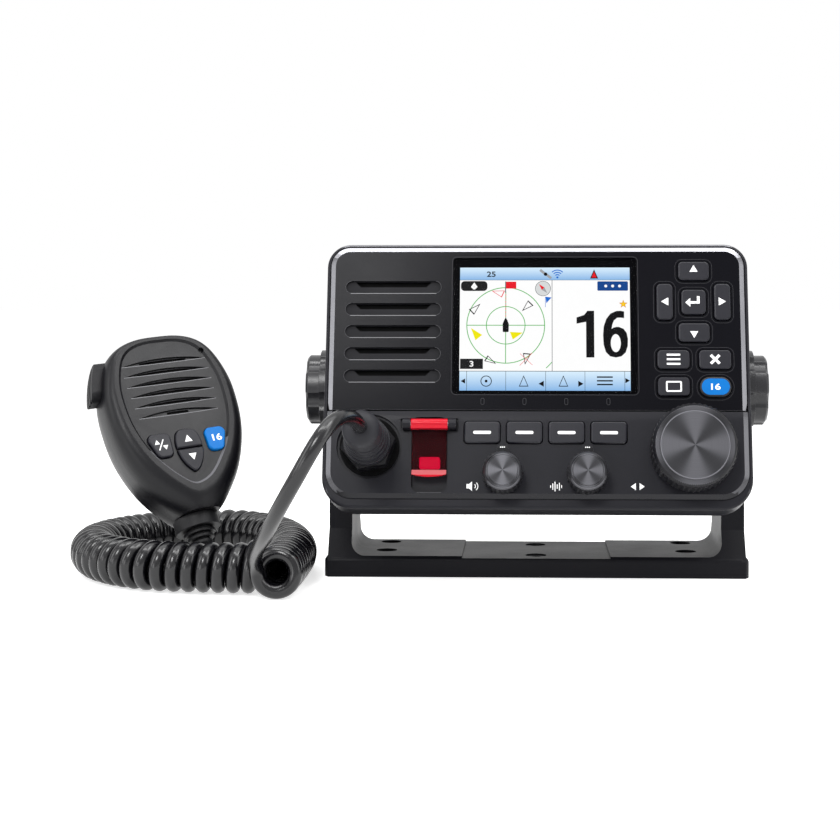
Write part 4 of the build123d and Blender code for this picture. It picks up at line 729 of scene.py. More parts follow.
def paint_lip_highlights(face):
    """Fine painted highlight lines along the lips of the keys, the window and the slots on the upper panel, and
    faint marks over the soft keys.
    """
    keys = [
        soft_box(x, z, wide + 2 * grow, tall + 2 * grow, corner + grow)
        for x, z, wide, tall, corner in PANEL_KEYS.values() for grow in (1.2, 1.07)]
    x, z = WINDOW_CENTRE
    window = [soft_box(x, z, WINDOW_SIZE[0] + g, WINDOW_SIZE[1] + g, 1.6 + g / 2) for g in (1.1, 0.8)]
    for key_x, _ in SOFT_KEYS:
        window.extend(soft_box(key_x, SOFT_KEY_MARK_Z, 1.5 - g, 2.9 - g, 0.7 - g / 2) for g in (0.0, 0.32))
    straight = SLOT_LENGTH / 2 - SLOT_HEIGHT / 2
    lower, ends = [], []
    for index in range(SLOT_COUNT):
        z = SLOT_TOP - index * SLOT_STEP
        low = z - SLOT_HEIGHT / 2
        lower.append(box(SLOT_X - straight - 0.6, low - 0.26, SLOT_X + straight + 0.6, low - 0.01))
        for start, way in ((100, -1), (-80, 1)):
            ends.append(arc_band(SLOT_X + way * straight, z, SLOT_HEIGHT / 2 + 0.09, 0.15, start, 160))
    faint = printed("faint_painted_highlight", (0.030, 0.030, 0.034))
    bright = printed("bright_painted_highlight", (0.20, 0.20, 0.21))
    for name, loops, highlight_paint in (("key_lip_highlights", keys, faint), ("window_lip_highlights", window, faint),
                             ("slot_lower_lip_highlights", lower, bright), ("slot_end_highlights", ends, soft_painted_highlight())):
        sign(name, loops, face, "radio", "gloss_panel", 0.01, highlight_paint)


def dress_inside():
    board = plastic("board_green", (0.01, 0.09, 0.035), 0.45, grain=900.0)
    paint_nodes(board, "main_board", "key_board", "mic_board")
    black = plastic("inner_black", (0.002, 0.002, 0.0022), 0.6, grain=1200.0, worn=0.1, Specular_IOR_Level=0.03)
    paint_nodes(
        black, "lcd_module", "speaker", "mic_speaker", "case_seal", "mic_socket", "rotary_controls",
        "channel_plunger")


def dress_window():
    """Cover glass over the display, with its black printed border."""
    material, tree, shader = new_material(
        "cover_glass", Roughness=0.06, Alpha=0.1, Specular_IOR_Level=0.08)
    mould = use_group(tree, moulded_grain(), {"Grain Scale": 900.0, "Cloud Scale": 60.0})
    tree.links.new(spread_noise(tree, mould.outputs["Cloud"], 0.04, 0.09), shader.inputs["Roughness"])
    shader.inputs["Base Color"].default_value = (0.004, 0.004, 0.005, 1)
    eased_copy("screen_window", "cover_glass_plate", 0.0002, material, segments=2)
    border = plastic(
        "window_border", (0.0015, 0.0015, 0.002), 0.4, depth=0.0, worn=0.0, Specular_IOR_Level=0.01)
    x, y = WINDOW_CENTRE
    loops = [
        soft_box(x, y, WINDOW_SIZE[0] - 0.6, WINDOW_SIZE[1] - 0.6, 1.4),
        soft_box(DISPLAY_CENTRE[0], DISPLAY_CENTRE[1], DISPLAY_SIZE[0], DISPLAY_SIZE[1], 0.2),
    ]
    place = on_face(radio_place(), DISPLAY_FACE)
    sign("window_border_print", loops, place, "radio", "screen_glass", 0.25, border)


LIT_COLOURS = {
    "white": (1.0, 1.0, 1.0),
    "pale": (0.68, 0.70, 0.70),
    "steel": (0.35, 0.36, 0.38),
    "grey": (0.12, 0.13, 0.14),
    "coal": (0.012, 0.012, 0.013),
    "black": (0.004, 0.004, 0.005),
    "green": (0.10, 0.47, 0.10),
    "red": (0.80, 0.01, 0.02),
    "yellow": (0.86, 0.79, 0.0),
    "amber": (0.62, 0.22, 0.01),
    "gold": (0.98, 0.60, 0.02),
    "blue": (0.01, 0.15, 0.62),
    "navy": (0.006, 0.058, 0.26),
}


def on_screen(x, y):
    """From a point counted right and down from the display's top left corner to the radio's face."""
    left = DISPLAY_CENTRE[0] - DISPLAY_SIZE[0] / 2
    top = DISPLAY_CENTRE[1] + DISPLAY_SIZE[1] / 2
    return left + x, top - y


def lit(colour):
    return printed("lit_" + colour, LIT_COLOURS[colour], 0.4, glow=1.12, shine=0.0)


def settle_on_screen(obj, name, layer, material):
    """Put a drawing on the display; a higher layer covers a lower one."""
    place = raised(on_face(radio_place(), DISPLAY_FACE), 0.03 + 0.02 * layer)
    return settle(obj, "display_" + name, "radio", material, place)


def screen_shape(name, loops, layer, colour):
    """A lit shape on the display, given right and down from its top left corner."""
    moved = [[on_screen(x, y) for x, y in loop] for loop in loops]
    return settle_on_screen(drawn(moved, sizes().print_height), name, layer, lit(colour))


def lit_bar():
    """Header and foot bars: pale blue, darker towards the bottom of each."""
    found = bpy.data.materials.get("lit_bar")
    if found:
        return found
    material, tree, shader = new_material(
        "lit_bar", Roughness=0.4, Emission_Strength=1.1, Specular_IOR_Level=0.0,
        Base_Color=(0.01, 0.01, 0.01, 1))
    coordinate = add_node(tree, "ShaderNodeUVMap", uv_map="bar").outputs["UV"]
    split = add_node(tree, "ShaderNodeSeparateXYZ", {0: coordinate})
    shade = mix_colours(tree, split.outputs["Y"], (0.24, 0.47, 0.80, 1), (0.70, 0.87, 1.0, 1))
    tree.links.new(shade, shader.inputs["Emission Color"])
    return material


def bar(name, x0, y0, x1, y1):
    """A lit bar whose own map runs from its foot to its top."""
    (ax, ay), (bx, by) = on_screen(x0, y1), on_screen(x1, y0)
    obj = drawn([box(ax, ay, bx, by)], sizes().print_height)
    uv = obj.data.uv_layers.new(name="bar")
    for loop in obj.data.loops:
        point = obj.data.vertices[loop.vertex_index].co
        uv.data[loop.index].uv = ((point.x / MM - ax) / (bx - ax), (point.y / MM - ay) / (by - ay))
    return settle_on_screen(obj, name, 0, lit_bar())


def draw_screen():
    wide, tall = DISPLAY_SIZE
    head, foot = 5.5, 44.9
    screen_shape("field", [box(0, head, wide, foot)], 0, "white")
    bar("header", 0, 0, wide, head - 0.1)
    cells = (0.0, 3.1, 19.5, 36.2, 52.6, 69.2, wide)
    for index, (left, right) in enumerate(zip(cells, cells[1:])):
        bar("foot_" + str(index + 1), left + 0.08, foot + 0.25, right - 0.08, tall)
    screen_shape("rules", [
        box(0, head - 0.1, wide, head + 0.05), box(0, foot, wide, foot + 0.2),
        box(38.8, head + 0.05, 39.05, foot)], 1, "grey")
    draw_radar()
    draw_tags()
    draw_header_signs()
    draw_foot_signs()
    draw_channel()
    for name, text, height, width, at, colour, layer in (
            ("power_figures", "25", 2.4, 3.7, (13.2, 2.9), "black", 3),
            ("range_figure", "3", 2.5, 1.6, (5.1, 41.9), "white", 4)):
        settle_on_screen(lettered(text, height, width, on_screen(*at)), name, layer, lit(colour))


def draw_radar():
    """The two range rings about the boat, with the marks of what lies round it."""
    cx, cy, big, small = 19.4, 25.2, 16.4, 8.15
    screen_shape("rings", [*ring(cx, cy, big, 0.36), *ring(cx, cy, small, 0.34, 48)], 1, "green")
    screen_shape("cross", [box(cx - big, cy - 0.17, cx + big, cy + 0.17)], 2, "green")
    screen_shape("bearing", [box(cx - 0.17, cy + 2, cx + 0.17, cy + big)], 2, "green")
    screen_shape("far_arc", [arc_band(cx, cy, 25.1, 0.34, 39.5, 8.0)], 1, "green")
    dashes = [box(cx - 0.13, 11.6 + 1.5 * i, cx + 0.13, 12.5 + 1.5 * i) for i in range(7)]
    screen_shape("course_line", [box(cx - 0.17, 10.6, cx + 0.17, cy - 3)], 1, "green")
    screen_shape("course_dashes", dashes, 2, "red")
    boat = [
        (cx - 1.25, cy + 2.7), (cx - 1.3, cy - 0.6), (cx - 0.7, cy - 2.2), (cx, cy - 3.4), (cx + 0.7, cy - 2.2),
        (cx + 1.3, cy - 0.6), (cx + 1.25, cy + 2.7), (cx + 0.9, cy + 2.95), (cx - 0.9, cy + 2.95)]
    screen_shape("boat", [boat], 3, "black")
    screen_shape("waypoint_flag", [box(cx + 0.1, 6.2, cx + 4.4, 9.2)], 3, "red")
    screen_shape("waypoint_pole", [box(cx - 0.3, 6.1, cx + 0.1, 11.0)], 3, "grey")
    marks = {
        "a": ((8.7, 15.8), (3.8, 18.3), (6.0, 20.7)),
        "b": ((28.8, 14.3), (31.1, 16.6), (26.2, 19.1)),
        "c": ((11.9, 38.2), (10.4, 40.7), (15.5, 41.9)),
        "d": ((26.7, 37.2), (30.1, 37.5), (27.5, 42.3)),
    }
    for key, points in marks.items():
        screen_shape("contact_" + key, outlined(points, 0.26), 3, "black")
    screen_shape("contact_near", outlined(((13.4, 10.2), (19.0, 10.1), (17.7, 13.1)), 0.2), 3, "red")
    screen_shape("contacts_lost", [line(25.5, 37.5, 30.7, 42.4, 0.17)], 4, "red")
    screen_shape("contacts_lost_too", [line(30.6, 37.1, 25.3, 42.6, 0.17)], 5, "red")
    screen_shape("contacts_watched", [
        [(4.75, 26.4), (9.5, 29.4), (6.7, 31.7)], [(21.2, 28.1), (26.6, 28.4), (22.4, 31.4)]],
        3, "yellow")
    screen_shape("compass", [circle(35.1, 9.2, 3.2)], 3, "pale")
    screen_shape("compass_rim", ring(35.1, 9.2, 3.2, 0.2), 4, "grey")
    screen_shape("compass_north", [[(33.4, 7.3), (35.7, 8.7), (34.6, 9.8)]], 5, "red")
    screen_shape("compass_south", [[(36.9, 11.2), (35.7, 8.7), (34.6, 9.8)]], 5, "steel")
    screen_shape("way_flag", [[(36.2, 12.8), (38.7, 13.1), (36.5, 15.6)], box(36.0, 12.8, 36.2, 17.3)],
                 3, "blue")


def draw_tags():
    """The tags and the star that lie over the radar picture and beside it."""
    screen_shape("course_tag", [soft_box(6.0, 8.1, 11.2, 4.3, 1.6)], 3, "coal")
    screen_shape("course_arrow", [triangle(6.0, 7.5, 2.0, -90, 0.7), box(5.7, 8.4, 6.3, 9.6)], 4, "white")
    screen_shape("range_tag", [box(0.3, 39.7, 9.9, 44.1)], 3, "coal")
    screen_shape("watch_tag", [soft_box(64.5, 8.1, 12.9, 4.1, 0.5)], 3, "navy")
    screen_shape("watch_dots", [circle(61.6 + 2.9 * i, 8.1, 0.62, 20) for i in range(3)], 4, "white")
    for name, share, layer, colour in (("star_edge", 1.0, 3, "amber"), ("star", 0.72, 4, "gold")):
        reach = [share * (1.9 if i % 2 == 0 else 0.8) for i in range(10)]
        star = [(68.9 + r * math.sin(math.pi * i / 5), 16.0 - r * math.cos(math.pi * i / 5))
                for i, r in enumerate(reach)]
        screen_shape(name, [star], layer, colour)


def draw_header_signs():
    """Satellite, signal and alarm in the header bar."""
    screen_shape("satellite", [line(33.9, 1.0, 35.9, 2.7, 1.1), line(36.6, 3.1, 38.6, 4.7, 1.1)], 3, "steel")
    screen_shape("satellite_body", [circle(36.2, 2.9, 0.75, 20)], 4, "black")
    waves = [arc_band(41.2, 4.3, r, 0.42, 225, 90) for r in (1.2, 2.2, 3.2)]
    screen_shape("signal", [*waves, circle(41.2, 4.3, 0.45, 16)], 3, "blue")
    screen_shape("alarm", [[(56.7, 0.8), (58.4, 4.8), (55.0, 4.8)]], 3, "black")
    screen_shape("alarm_fill", [[(56.7, 1.7), (57.8, 4.4), (55.6, 4.4)]], 4, "red")


def draw_channel():
    """The large figures of the channel."""
    one = ((7.4, 0), (7.4, 20.2), (4.6, 20.2), (3.2, 18.4), (0, 17.3), (0, 14.6), (4.0, 15.4), (4.0, 0))
    six = (
        (8.9, 19.9), (8.9, 17.0), (7.6, 17.2), (6.0, 17.2), (4.6, 16.0), (3.9, 14.2), (3.6, 12.3), (4.4, 12.9),
        (5.6, 13.2), (6.6, 13.2), (8.6, 12.4), (9.9, 10.6), (10.4, 8.0), (10.3, 5.0), (9.4, 2.2), (7.6, 0.5),
        (5.3, 0), (2.9, 0.5), (1.1, 2.4), (0.2, 5.6), (0, 9.6), (0.3, 13.4), (1.4, 16.7), (3.2, 19.0),
        (5.6, 20.1), (7.4, 20.2))
    bowl = [(5.3 + 2.1 * x, 6.2 + 3.9 * y) for x, y in circle(0, 0, 1.0, 32)]
    screen_shape("channel_one", [[(49.2 + x, 39.1 - y) for x, y in one]], 3, "black")
    screen_shape("channel_six", [[(60.3 + x, 39.1 - y) for x, y in loop] for loop in (six, bowl)], 3, "black")


# How far the middle of a small triangle lies from its sides
TRIANGLE_INRADIUS = 0.95


def outlined(points, width):
    """A triangle's outline as two loops."""
    centre = Vector((sum(p[0] for p in points) / 3, sum(p[1] for p in points) / 3))
    loops = []
    for share in (1.0, 1.0 - width / TRIANGLE_INRADIUS):
        loops.append([tuple(centre + (Vector(p) - centre) * share) for p in points])
    return loops


def draw_foot_signs():
    """Plain signs in the foot bar, one over each soft key, and the arrows between them."""
    arrows = [
        triangle(1.55, 49.3, 1.9, 180), triangle(70.4, 49.0, 1.9, 0), triangle(34.3, 50.4, 2.2, 180),
        triangle(50.9, 50.4, 2.2, 0)]
    screen_shape("arrows", arrows, 3, "black")
    target = [*ring(11.3, 49.3, 2.2, 0.34, 32), circle(11.3, 49.3, 0.6, 16)]
    screen_shape("foot_range", target, 3, "black")
    for name, x in (("previous", 27.0), ("next", 43.6)):
        screen_shape("foot_" + name, outlined(((x, 46.8), (x + 2.0, 51.6), (x - 2.0, 51.6)), 0.2), 3, "black")
    lines = [box(57.6, 47.2 + 1.6 * i, 64.2, 47.8 + 1.6 * i) for i in range(3)]
    screen_shape("foot_list", lines, 3, "black")


KEY_SIGNS = {
    "key_up": [triangle(66.0, 42.3, 2.9, 90)],
    "key_down": [triangle(65.8, 13.6, 2.9, -90)],
    "key_left": [triangle(53.7, 27.9, 3.0, 180)],
    "key_right": [triangle(77.8, 27.9, 3.0, 0)],
    "key_enter": [
        [(68.3, 30.2), (68.3, 27.0), (64.4, 27.0), (64.4, 25.6), (62.3, 27.5), (64.4, 29.4), (64.4, 28.0),
         (67.2, 28.0), (67.2, 30.2)]],
    "key_menu": [box(54.2, 4.55, 59.8, 5.35), box(54.2, 2.6, 59.8, 3.4), box(54.2, 0.65, 59.8, 1.45)],
    "key_clear": [
        [(72.9, 5.2), (74.3, 3.8), (75.7, 5.2), (76.5, 4.4), (75.1, 3.0), (76.5, 1.6), (75.7, 0.8), (74.3, 2.2),
         (72.9, 0.8), (72.1, 1.6), (73.5, 3.0), (72.1, 4.4)]],
    "key_display": [soft_box(57.0, -8.6, 6.6, 4.6, 0.6), soft_box(57.0, -8.6, 5.3, 3.3, 0.3)],
}


def dress_keys():
    rubber = plastic(
        "key_rubber_grain", colours().key, 0.36, grain=3000.0, depth=0.015, worn=0.9, spread=0.03,
        Specular_IOR_Level=0.26)
    rim = plastic("blue_key_rim", (0.016, 0.016, 0.018), 0.42, grain=3000.0, depth=0.02, worn=0.6)
    place = on_face(radio_place(), KEY_FACE)
    for name in [n for n in NODES if n.startswith("key_") and n != "key_board"]:
        is_blue = name == "key_sixteen"
        eased_copy(
            name, name + "_cap_moulding", sizes().key_ease, rim if is_blue else rubber)
        if name in KEY_SIGNS:
            sign(name + "_sign", KEY_SIGNS[name], place, body_of_node(name), "key_rubber")
    blue = plastic(
        "blue_key_plastic", colours().blue_key, 0.4, grain=2800.0, depth=0.012, worn=0.1,
        Specular_IOR_Level=0.1)
    x, z = PANEL_KEYS["sixteen"][:2]
    pad = drawn([soft_box(x, z, 11.6, 6.9, 3.4, 10)], 0.0005)
    shape_up(pad, "BEVEL", width=0.0002, segments=3, limit_method="ANGLE", angle_limit=math.radians(40))
    smooth(pad, 32.0)
    body = body_of_node("key_sixteen")
    settle(pad, "key_sixteen_pad", body, blue, place)
    figures = lettered("16", 2.7, 3.9, (x, z))
    settle(figures, "key_sixteen_figures", body, sign_white(), raised(place, 0.27))
    soft_place = on_face(radio_place(), SOFT_KEY_FACE)
    for index, (x, z) in enumerate(SOFT_KEYS):
        name = "soft_key_" + str(index + 1)
        eased_copy(name, name + "_cap_moulding", sizes().key_ease, rubber)
        sign(name + "_bar", [soft_box(x, z - 0.1, 7.4, 1.3, 0.6)], soft_place, body_of_node(name), "key_rubber")


def dress_knobs():
    skirt = plastic(
        "knob_skirt", tinted(colours().case, 0.6), 0.34, depth=0.015, worn=1.0, Specular_IOR_Level=0.16)
    place = radio_place()
    metal = colours().metal
    for name, (x, z) in {"channel": CHANNEL_KNOB, **LEVEL_KNOBS}.items():
        disc_radius, rim_radius, reach = KNOB_METAL[name]

        def on_front(centre, normal):
            return centre.y < KNOB_FRONT and normal.y < -0.3 and math.hypot(centre.x - x, centre.z - z) < reach

        moulding = eased_copy(
            name + "_knob", name + "_knob_moulding", 0.00015, skirt, segments=2)
        # The discs and the turned fronts carry painted highlight rays and a painted lighter rim
        paint_nodes(spun_metal_painted_rays(name + "_spun_metal_painted_rays", place, (x, 0, z), metal, disc_radius), name + "_knob_disc")
        turned = spun_metal_painted_rays(name + "_turned_edge", place, (x, 0, z), tinted(metal, 0.8), rim_radius)
        paint_part(moulding, turned, place, on_front)
    disc_face = on_face(place, DISC_FACE)
    for name, (x, z) in LEVEL_KNOBS.items():
        dots = [circle(x + 0.75 * i, z + 10.35, 0.28, 16) for i in (-1, 0, 1)]
        sign(name + "_pointer_dots", dots, disc_face, body_of_node(name + "_knob"), "control_metal")
    print_knob_signs(on_face(place, CONTROL_FACE) @ Matrix.Translation((0, 2.5 * MM, 0)))


def print_knob_signs(face):
    """A horn, a sound wave and two arrows on the lower panel, beside the knobs that they belong to."""
    x, z = LEVEL_KNOBS["volume"]
    horn = [
        [(x - 14.9, z - 6.3), (x - 13.9, z - 6.3), (x - 12.6, z - 5.2), (x - 12.6, z - 9.2),
         (x - 13.9, z - 8.1), (x - 14.9, z - 8.1)],
        arc_band(x - 12.2, z - 7.2, 1.0, 0.32, -50, 100, 8),
        arc_band(x - 12.2, z - 7.2, 2.0, 0.32, -50, 100, 10)]
    x, z = LEVEL_KNOBS["squelch"]
    wave = [
        line(x - 15.0 + 0.9 * i, z - 7.2 - h, x - 15.0 + 0.9 * i, z - 7.2 + h, 0.36)
        for i, h in enumerate((0.5, 1.3, 2.0, 0.9, 1.6, 0.6))]
    arrows = [triangle(39.6, -53.4, 2.1, 180, 0.7), triangle(43.2, -53.4, 2.1, 0, 0.7)]
    for name, loops in (("volume_sign", horn), ("squelch_sign", wave), ("channel_sign", arrows)):
        sign(name, loops, face, "radio", "case_plastic", 0.03)


def clear_red(name, colour, thin, dense, shine=0.1):
    """Tinted clear plastic, denser towards its edges."""
    material, tree, shader = new_material(name, Roughness=0.16, Specular_IOR_Level=shine)
    mould = use_group(tree, moulded_grain(), {"Grain Scale": 700.0, "Cloud Scale": 90.0})
    shader.inputs["Base Color"].default_value = rgba(colour)
    edge = add_node(tree, "ShaderNodeLayerWeight", {"Blend": 0.35})
    cover = add_node(tree, "ShaderNodeMapRange", {
        "Value": edge.outputs["Facing"], "From Min": 0.0, "From Max": 0.8, "To Min": thin, "To Max": dense})
    tree.links.new(cover.outputs["Result"], shader.inputs["Alpha"])
    bump = add_node(tree, "ShaderNodeBump", {"Distance": 0.00001, "Height": mould.outputs["Height"]})
    tree.links.new(bump.outputs["Normal"], shader.inputs["Normal"])
    return material


def on_cover_ends(centre, normal):
    return centre.z > COVER_HEAD or centre.z < COVER_FOOT


def on_cover_lip(centre, normal):
    return centre.z < COVER_LIP and normal.z > 0.3 and normal.y < -0.3


def dress_distress():
    place = radio_place()
    pane = clear_red("clear_red", (0.030, 0.0004, 0.0015), 0.4, 0.8, 0.02)
    cover = eased_copy("distress_cover", "distress_cover_moulding", 0.00025, pane)
    paint_part(cover, clear_red("thick_red", (0.52, 0.003, 0.016), 0.9, 1.0, 0.22), place, on_cover_ends)
    # The lip's up-facing slope gets a paler red, a painted highlight where the top light falls
    paint_part(cover, clear_red("red_lip_painted_highlight", (0.45, 0.09, 0.10), 0.9, 1.0), place, on_cover_lip)
    # The button glows in red, a painted glow that keeps it bright under the dark cover though it is no lamp
    red = plastic(
        "distress_red_painted_glow", colours().red, 0.35, grain=2200.0, depth=0.01, worn=0.2,
        Emission_Color=(0.8, 0.003, 0.045, 1.0), Emission_Strength=1.7)
    eased_copy("distress_button", "distress_button_cap", 0.0003, red)


def dress_plug():
    nut = plastic("plug_nut_grain", tinted(colours().cord, 1.1), 0.38, grain=2400.0, Specular_IOR_Level=0.12)
    eased_copy("plug_nut", "plug_nut_moulding", 0.0004, nut)
    boot = plastic(
        "boot_rubber", tinted(colours().cord, 3.4), 0.5, grain=2400.0, depth=0.015, Specular_IOR_Level=0.28)
    eased_copy("plug_boot", "plug_boot_moulding", 0.0003, boot)


def dress_rear():
    paint = plastic("chassis_paint_grain", (0.012, 0.012, 0.014), 0.5, grain=1400.0, depth=0.08)
    eased_copy("rear_chassis", "rear_chassis_casting", 0.0003, paint, segments=2)
    nickel = plastic("connector_nickel", (0.62, 0.60, 0.56), 0.22, grain=900.0, depth=0.004, Metallic=1.0)
    paint_nodes(nickel, "antenna_sockets", "rear_screws")
    paint_nodes(plastic("socket_moulding", (0.014, 0.014, 0.016), 0.42), "data_sockets", "power_gland")
    brass = plastic("terminal_brass", (0.62, 0.42, 0.16), 0.28, depth=0.004, Metallic=1.0)
    paint_nodes(brass, "ground_terminal")


MIC_SIGNS = {
    "mic_up_key": [triangle(0.0, 26.3, 3.0, 90)],
    "mic_down_key": [triangle(0.0, 17.8, 3.0, -90)],
    "mic_power_key": [
        triangle(-14.0, 26.4, 2.0, 90), triangle(-10.7, 23.6, 2.0, -90), line(-13.8, 22.7, -11.0, 27.3, 0.45)],
}


def on_insert_foot(centre, normal):
    """True on the upward-facing edge of the raised insert, round its foot, which gets a painted highlight."""
    on_edge = INSERT_FRONT < centre.y < INSERT_BACK and centre.z < INSERT_FOOT_TOP
    return on_edge and normal.z > 0.25 and -0.95 < normal.y


def grille_lip_highlights():
    """A thin curved painted highlight along the lower edge of each grille slot."""
    lips = []
    for index, half in enumerate(GRILLE_HALVES):
        z = GRILLE_TOP - index * GRILLE_PITCH
        edge = [(half * t / 8, z - GRILLE_SAG * (1 - (t / 8) ** 2) - 0.03) for t in range(-8, 9)]
        lips.append(edge + [(x, y - 0.28) for x, y in reversed(edge)])
    return lips


def dress_microphone():
    place = microphone_place()
    shell = plastic(
        "microphone_grain", colours().microphone, 0.37, grain=1500.0, depth=0.04, worn=0.15, spread=0.04,
        Specular_IOR_Level=0.24)
    front = eased_copy("mic_front_case", "mic_front_moulding", 0.0004, shell)
    # The upward-facing slope round the insert's foot gets a lighter colour, a painted highlight
    paint_part(front, printed("insert_edge_painted_highlight", (0.11, 0.11, 0.12)), place, on_insert_foot)
    lip_highlight_paint = printed("grille_painted_highlight", (0.17, 0.17, 0.18))
    body = body_of_node("mic_front_case")
    sign("mic_grille_lip_highlights", grille_lip_highlights(), on_face(place, MIC_FLOOR), body, "mic_plastic", 0.01, lip_highlight_paint)
    eased_copy("mic_rear_case", "mic_rear_moulding", 0.0006, shell)
    rubber = plastic("mic_rubber", tinted(colours().microphone, 0.9), 0.5, grain=1800.0, depth=0.04)
    eased_copy("mic_talk_button", "mic_talk_button_cap", 0.0014, rubber, segments=4)
    eased_copy("mic_strain_relief", "mic_relief_moulding", 0.0003, rubber)
    face = on_face(place, MIC_KEY_FACE)
    key = plastic("mic_key_rubber", colours().key, 0.42, depth=0.02, worn=0.7)
    blue = plastic("mic_blue_plastic", colours().blue_key, 0.4, depth=0.01, worn=0.1, Specular_IOR_Level=0.15)
    for name in ("mic_power_key", "mic_up_key", "mic_down_key", "mic_blue_key"):
        is_blue = name == "mic_blue_key"
        eased_copy(
            name, name + "_cap_moulding", 0.0005, blue if is_blue else key)
        if name in MIC_SIGNS:
            sign(name + "_sign", MIC_SIGNS[name], face, body_of_node(name), "key_rubber")
    figures = lettered("16", 3.0, 4.3, (13.0, 24.9))
    settle(
        figures, "mic_blue_key_figures", body_of_node("mic_blue_key"), sign_white(),
        raised(face, 0.02))
    steel = plastic("stud_steel", (0.5, 0.5, 0.51), 0.3, depth=0.004, Metallic=1.0)
    paint_nodes(steel, "mic_hanger_stud", "mic_screws")


# ---------------------------------------------------------------- cord
def smooth_points(route, resolution):
    """Points along the smooth spline that has this route's points as its control points."""
    curve = bpy.data.curves.new("cord_route", "CURVE")
    curve.dimensions = "3D"
    curve.resolution_u = resolution
    spline = curve.splines.new("NURBS")
    spline.points.add(len(route) - 1)
    for point, place in zip(spline.points, route):
        point.co = (*place, 1)
    spline.order_u = 3
    spline.use_endpoint_u = True
    guide = bpy.data.objects.new("cord_route", curve)
    bpy.context.scene.collection.objects.link(guide)
    bpy.context.view_layer.update()
    mesh = bpy.data.meshes.new_from_object(guide)
    points = [v.co.copy() for v in mesh.vertices]
    bpy.data.objects.remove(guide)
    bpy.data.meshes.remove(mesh)
    bpy.data.curves.remove(curve)
    return points


def walk(points, step):
    """(distance, place, direction) at even steps along a line of points."""
    found, travelled, target = [], 0.0, 0.0
    for a, b in zip(points, points[1:]):
        run = (b - a).length
        while run > 0 and target <= travelled + run:
            found.append((target, a.lerp(b, (target - travelled) / run), (b - a) / run))
            target += step
        travelled += run
    return found


# The step along the coil's middle in metres, the steps a bend is measured over, and the points in a turn
COIL_STEP, BEND_STEPS, TURN_POINTS = 0.0003, 27, 24
# The smallest share to which a bend narrows the turns' inner side, and the room for a turn in cord diameters
LEAST_INNER, TURN_SPACING = 0.35, 0.86


def curly_cord():
    """Points down the lead and round the turns of the curly part, which starts at its full radius."""
    size = sizes()
    points = [Vector(p) * MM for p in LEAD_ROUTE]
    steps = walk(smooth_points([Vector(p) * MM for p in COIL_ROUTE], 40), COIL_STEP)
    phase, last = math.pi, None
    for index, (s, place, along) in enumerate(steps):
        side = along.cross(Vector((0, 0, 1))).normalized()
        above = side.cross(along)
        ahead = steps[min(index + BEND_STEPS, len(steps) - 1)][2]
        inner = max(LEAST_INNER, 1.0 - size.helix_radius * along.angle(ahead, 0.0) / (BEND_STEPS * COIL_STEP))
        pitch = max(size.helix_pitch, TURN_SPACING * size.cord_diameter / inner)
        if last is None or s - last >= pitch / TURN_POINTS:
            turn = side * math.cos(phase) + above * math.sin(phase)
            points.append(place + turn * size.helix_radius)
            last = s
        phase += 2 * math.pi * COIL_STEP / pitch
    return points


def make_cord():
    size = sizes()
    points = curly_cord() + [Vector(p) * MM for p in TAIL_ROUTE]
    centre = smooth_points(points, 3)
    curve = bpy.data.curves.new("microphone_cord", "CURVE")
    curve.dimensions = "3D"
    curve.bevel_depth = size.cord_diameter / 2
    curve.bevel_resolution = 4
    curve.use_fill_caps = True
    spline = curve.splines.new("POLY")
    spline.points.add(len(centre) - 1)
    for point, place in zip(spline.points, centre):
        point.co = (*place, 1)
    obj = bpy.data.objects.new("microphone_cord", curve)
    bpy.context.scene.collection.objects.link(obj)
    select_only(obj)
    bpy.ops.object.convert(target="MESH")
    obj = bpy.context.view_layer.objects.active
    bpy.ops.object.shade_smooth()
    rubber = plastic(
        "cord_sheath", colours().cord, 0.22, grain=1900.0, depth=0.006, worn=0.0, spread=0.03,
        Specular_IOR_Level=0.46)
    obj.data.materials.clear()
    obj.data.materials.append(rubber)
    obj.name = "microphone_cord"
    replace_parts(obj, "cord_lead", "cord_coil", "cord_tail")
    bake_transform(obj)


# ---------------------------------------------------------------- stage
CAMERA_PLACE = (-0.0049111, -0.7937134, 0.1206172)
CAMERA_YAW, CAMERA_PITCH = 0.0352, 0.0452
CAMERA_SHIFT = -0.05
LAMP_AIM = Vector((0, 0, 0.08))
FLOOR_SIDE, FLOOR_DROP = 30.0, 0.0002
FLOOR_GLOW, WORLD_LIGHT = 0.68, 0.45
# name: place, size x, size y, power in watts
LAMPS = {
    "top_softbox": ((0.0, 0.05, 1.1), 1.2, 0.6, 4.5),
    "top_strip": ((-0.15, -0.32, 0.95), 0.9, 0.1, 3.6),
    "left_softbox": ((-1.05, -0.48, 0.55), 0.35, 0.9, 4.0),
    "right_softbox": ((1.05, -0.48, 0.55), 0.35, 0.9, 3.5),
    "front_fill": ((-0.9, -1.2, 0.15), 0.5, 0.5, 3.0),
    "corner_sheen": ((-0.27, -1.0, 0.77), 0.3, 0.3, 6.0),
    "microphone_sheen": ((0.38, -0.26, 0.78), 0.35, 0.35, 3.0),
}


def stage_material():
    """Matt white that shows as plain white and keeps shadows."""
    material, tree, shader = new_material("stage_white", Roughness=1.0, Specular_IOR_Level=0.0)
    shader.inputs["Base Color"].default_value = rgba(bpy.context.scene.radio_stage.floor)
    shader.inputs["Emission Color"].default_value = (1, 1, 1, 1)
    glow = calculate(tree, "MULTIPLY", seen_directly(tree), FLOOR_GLOW)
    tree.links.new(glow, shader.inputs["Emission Strength"])
    return material


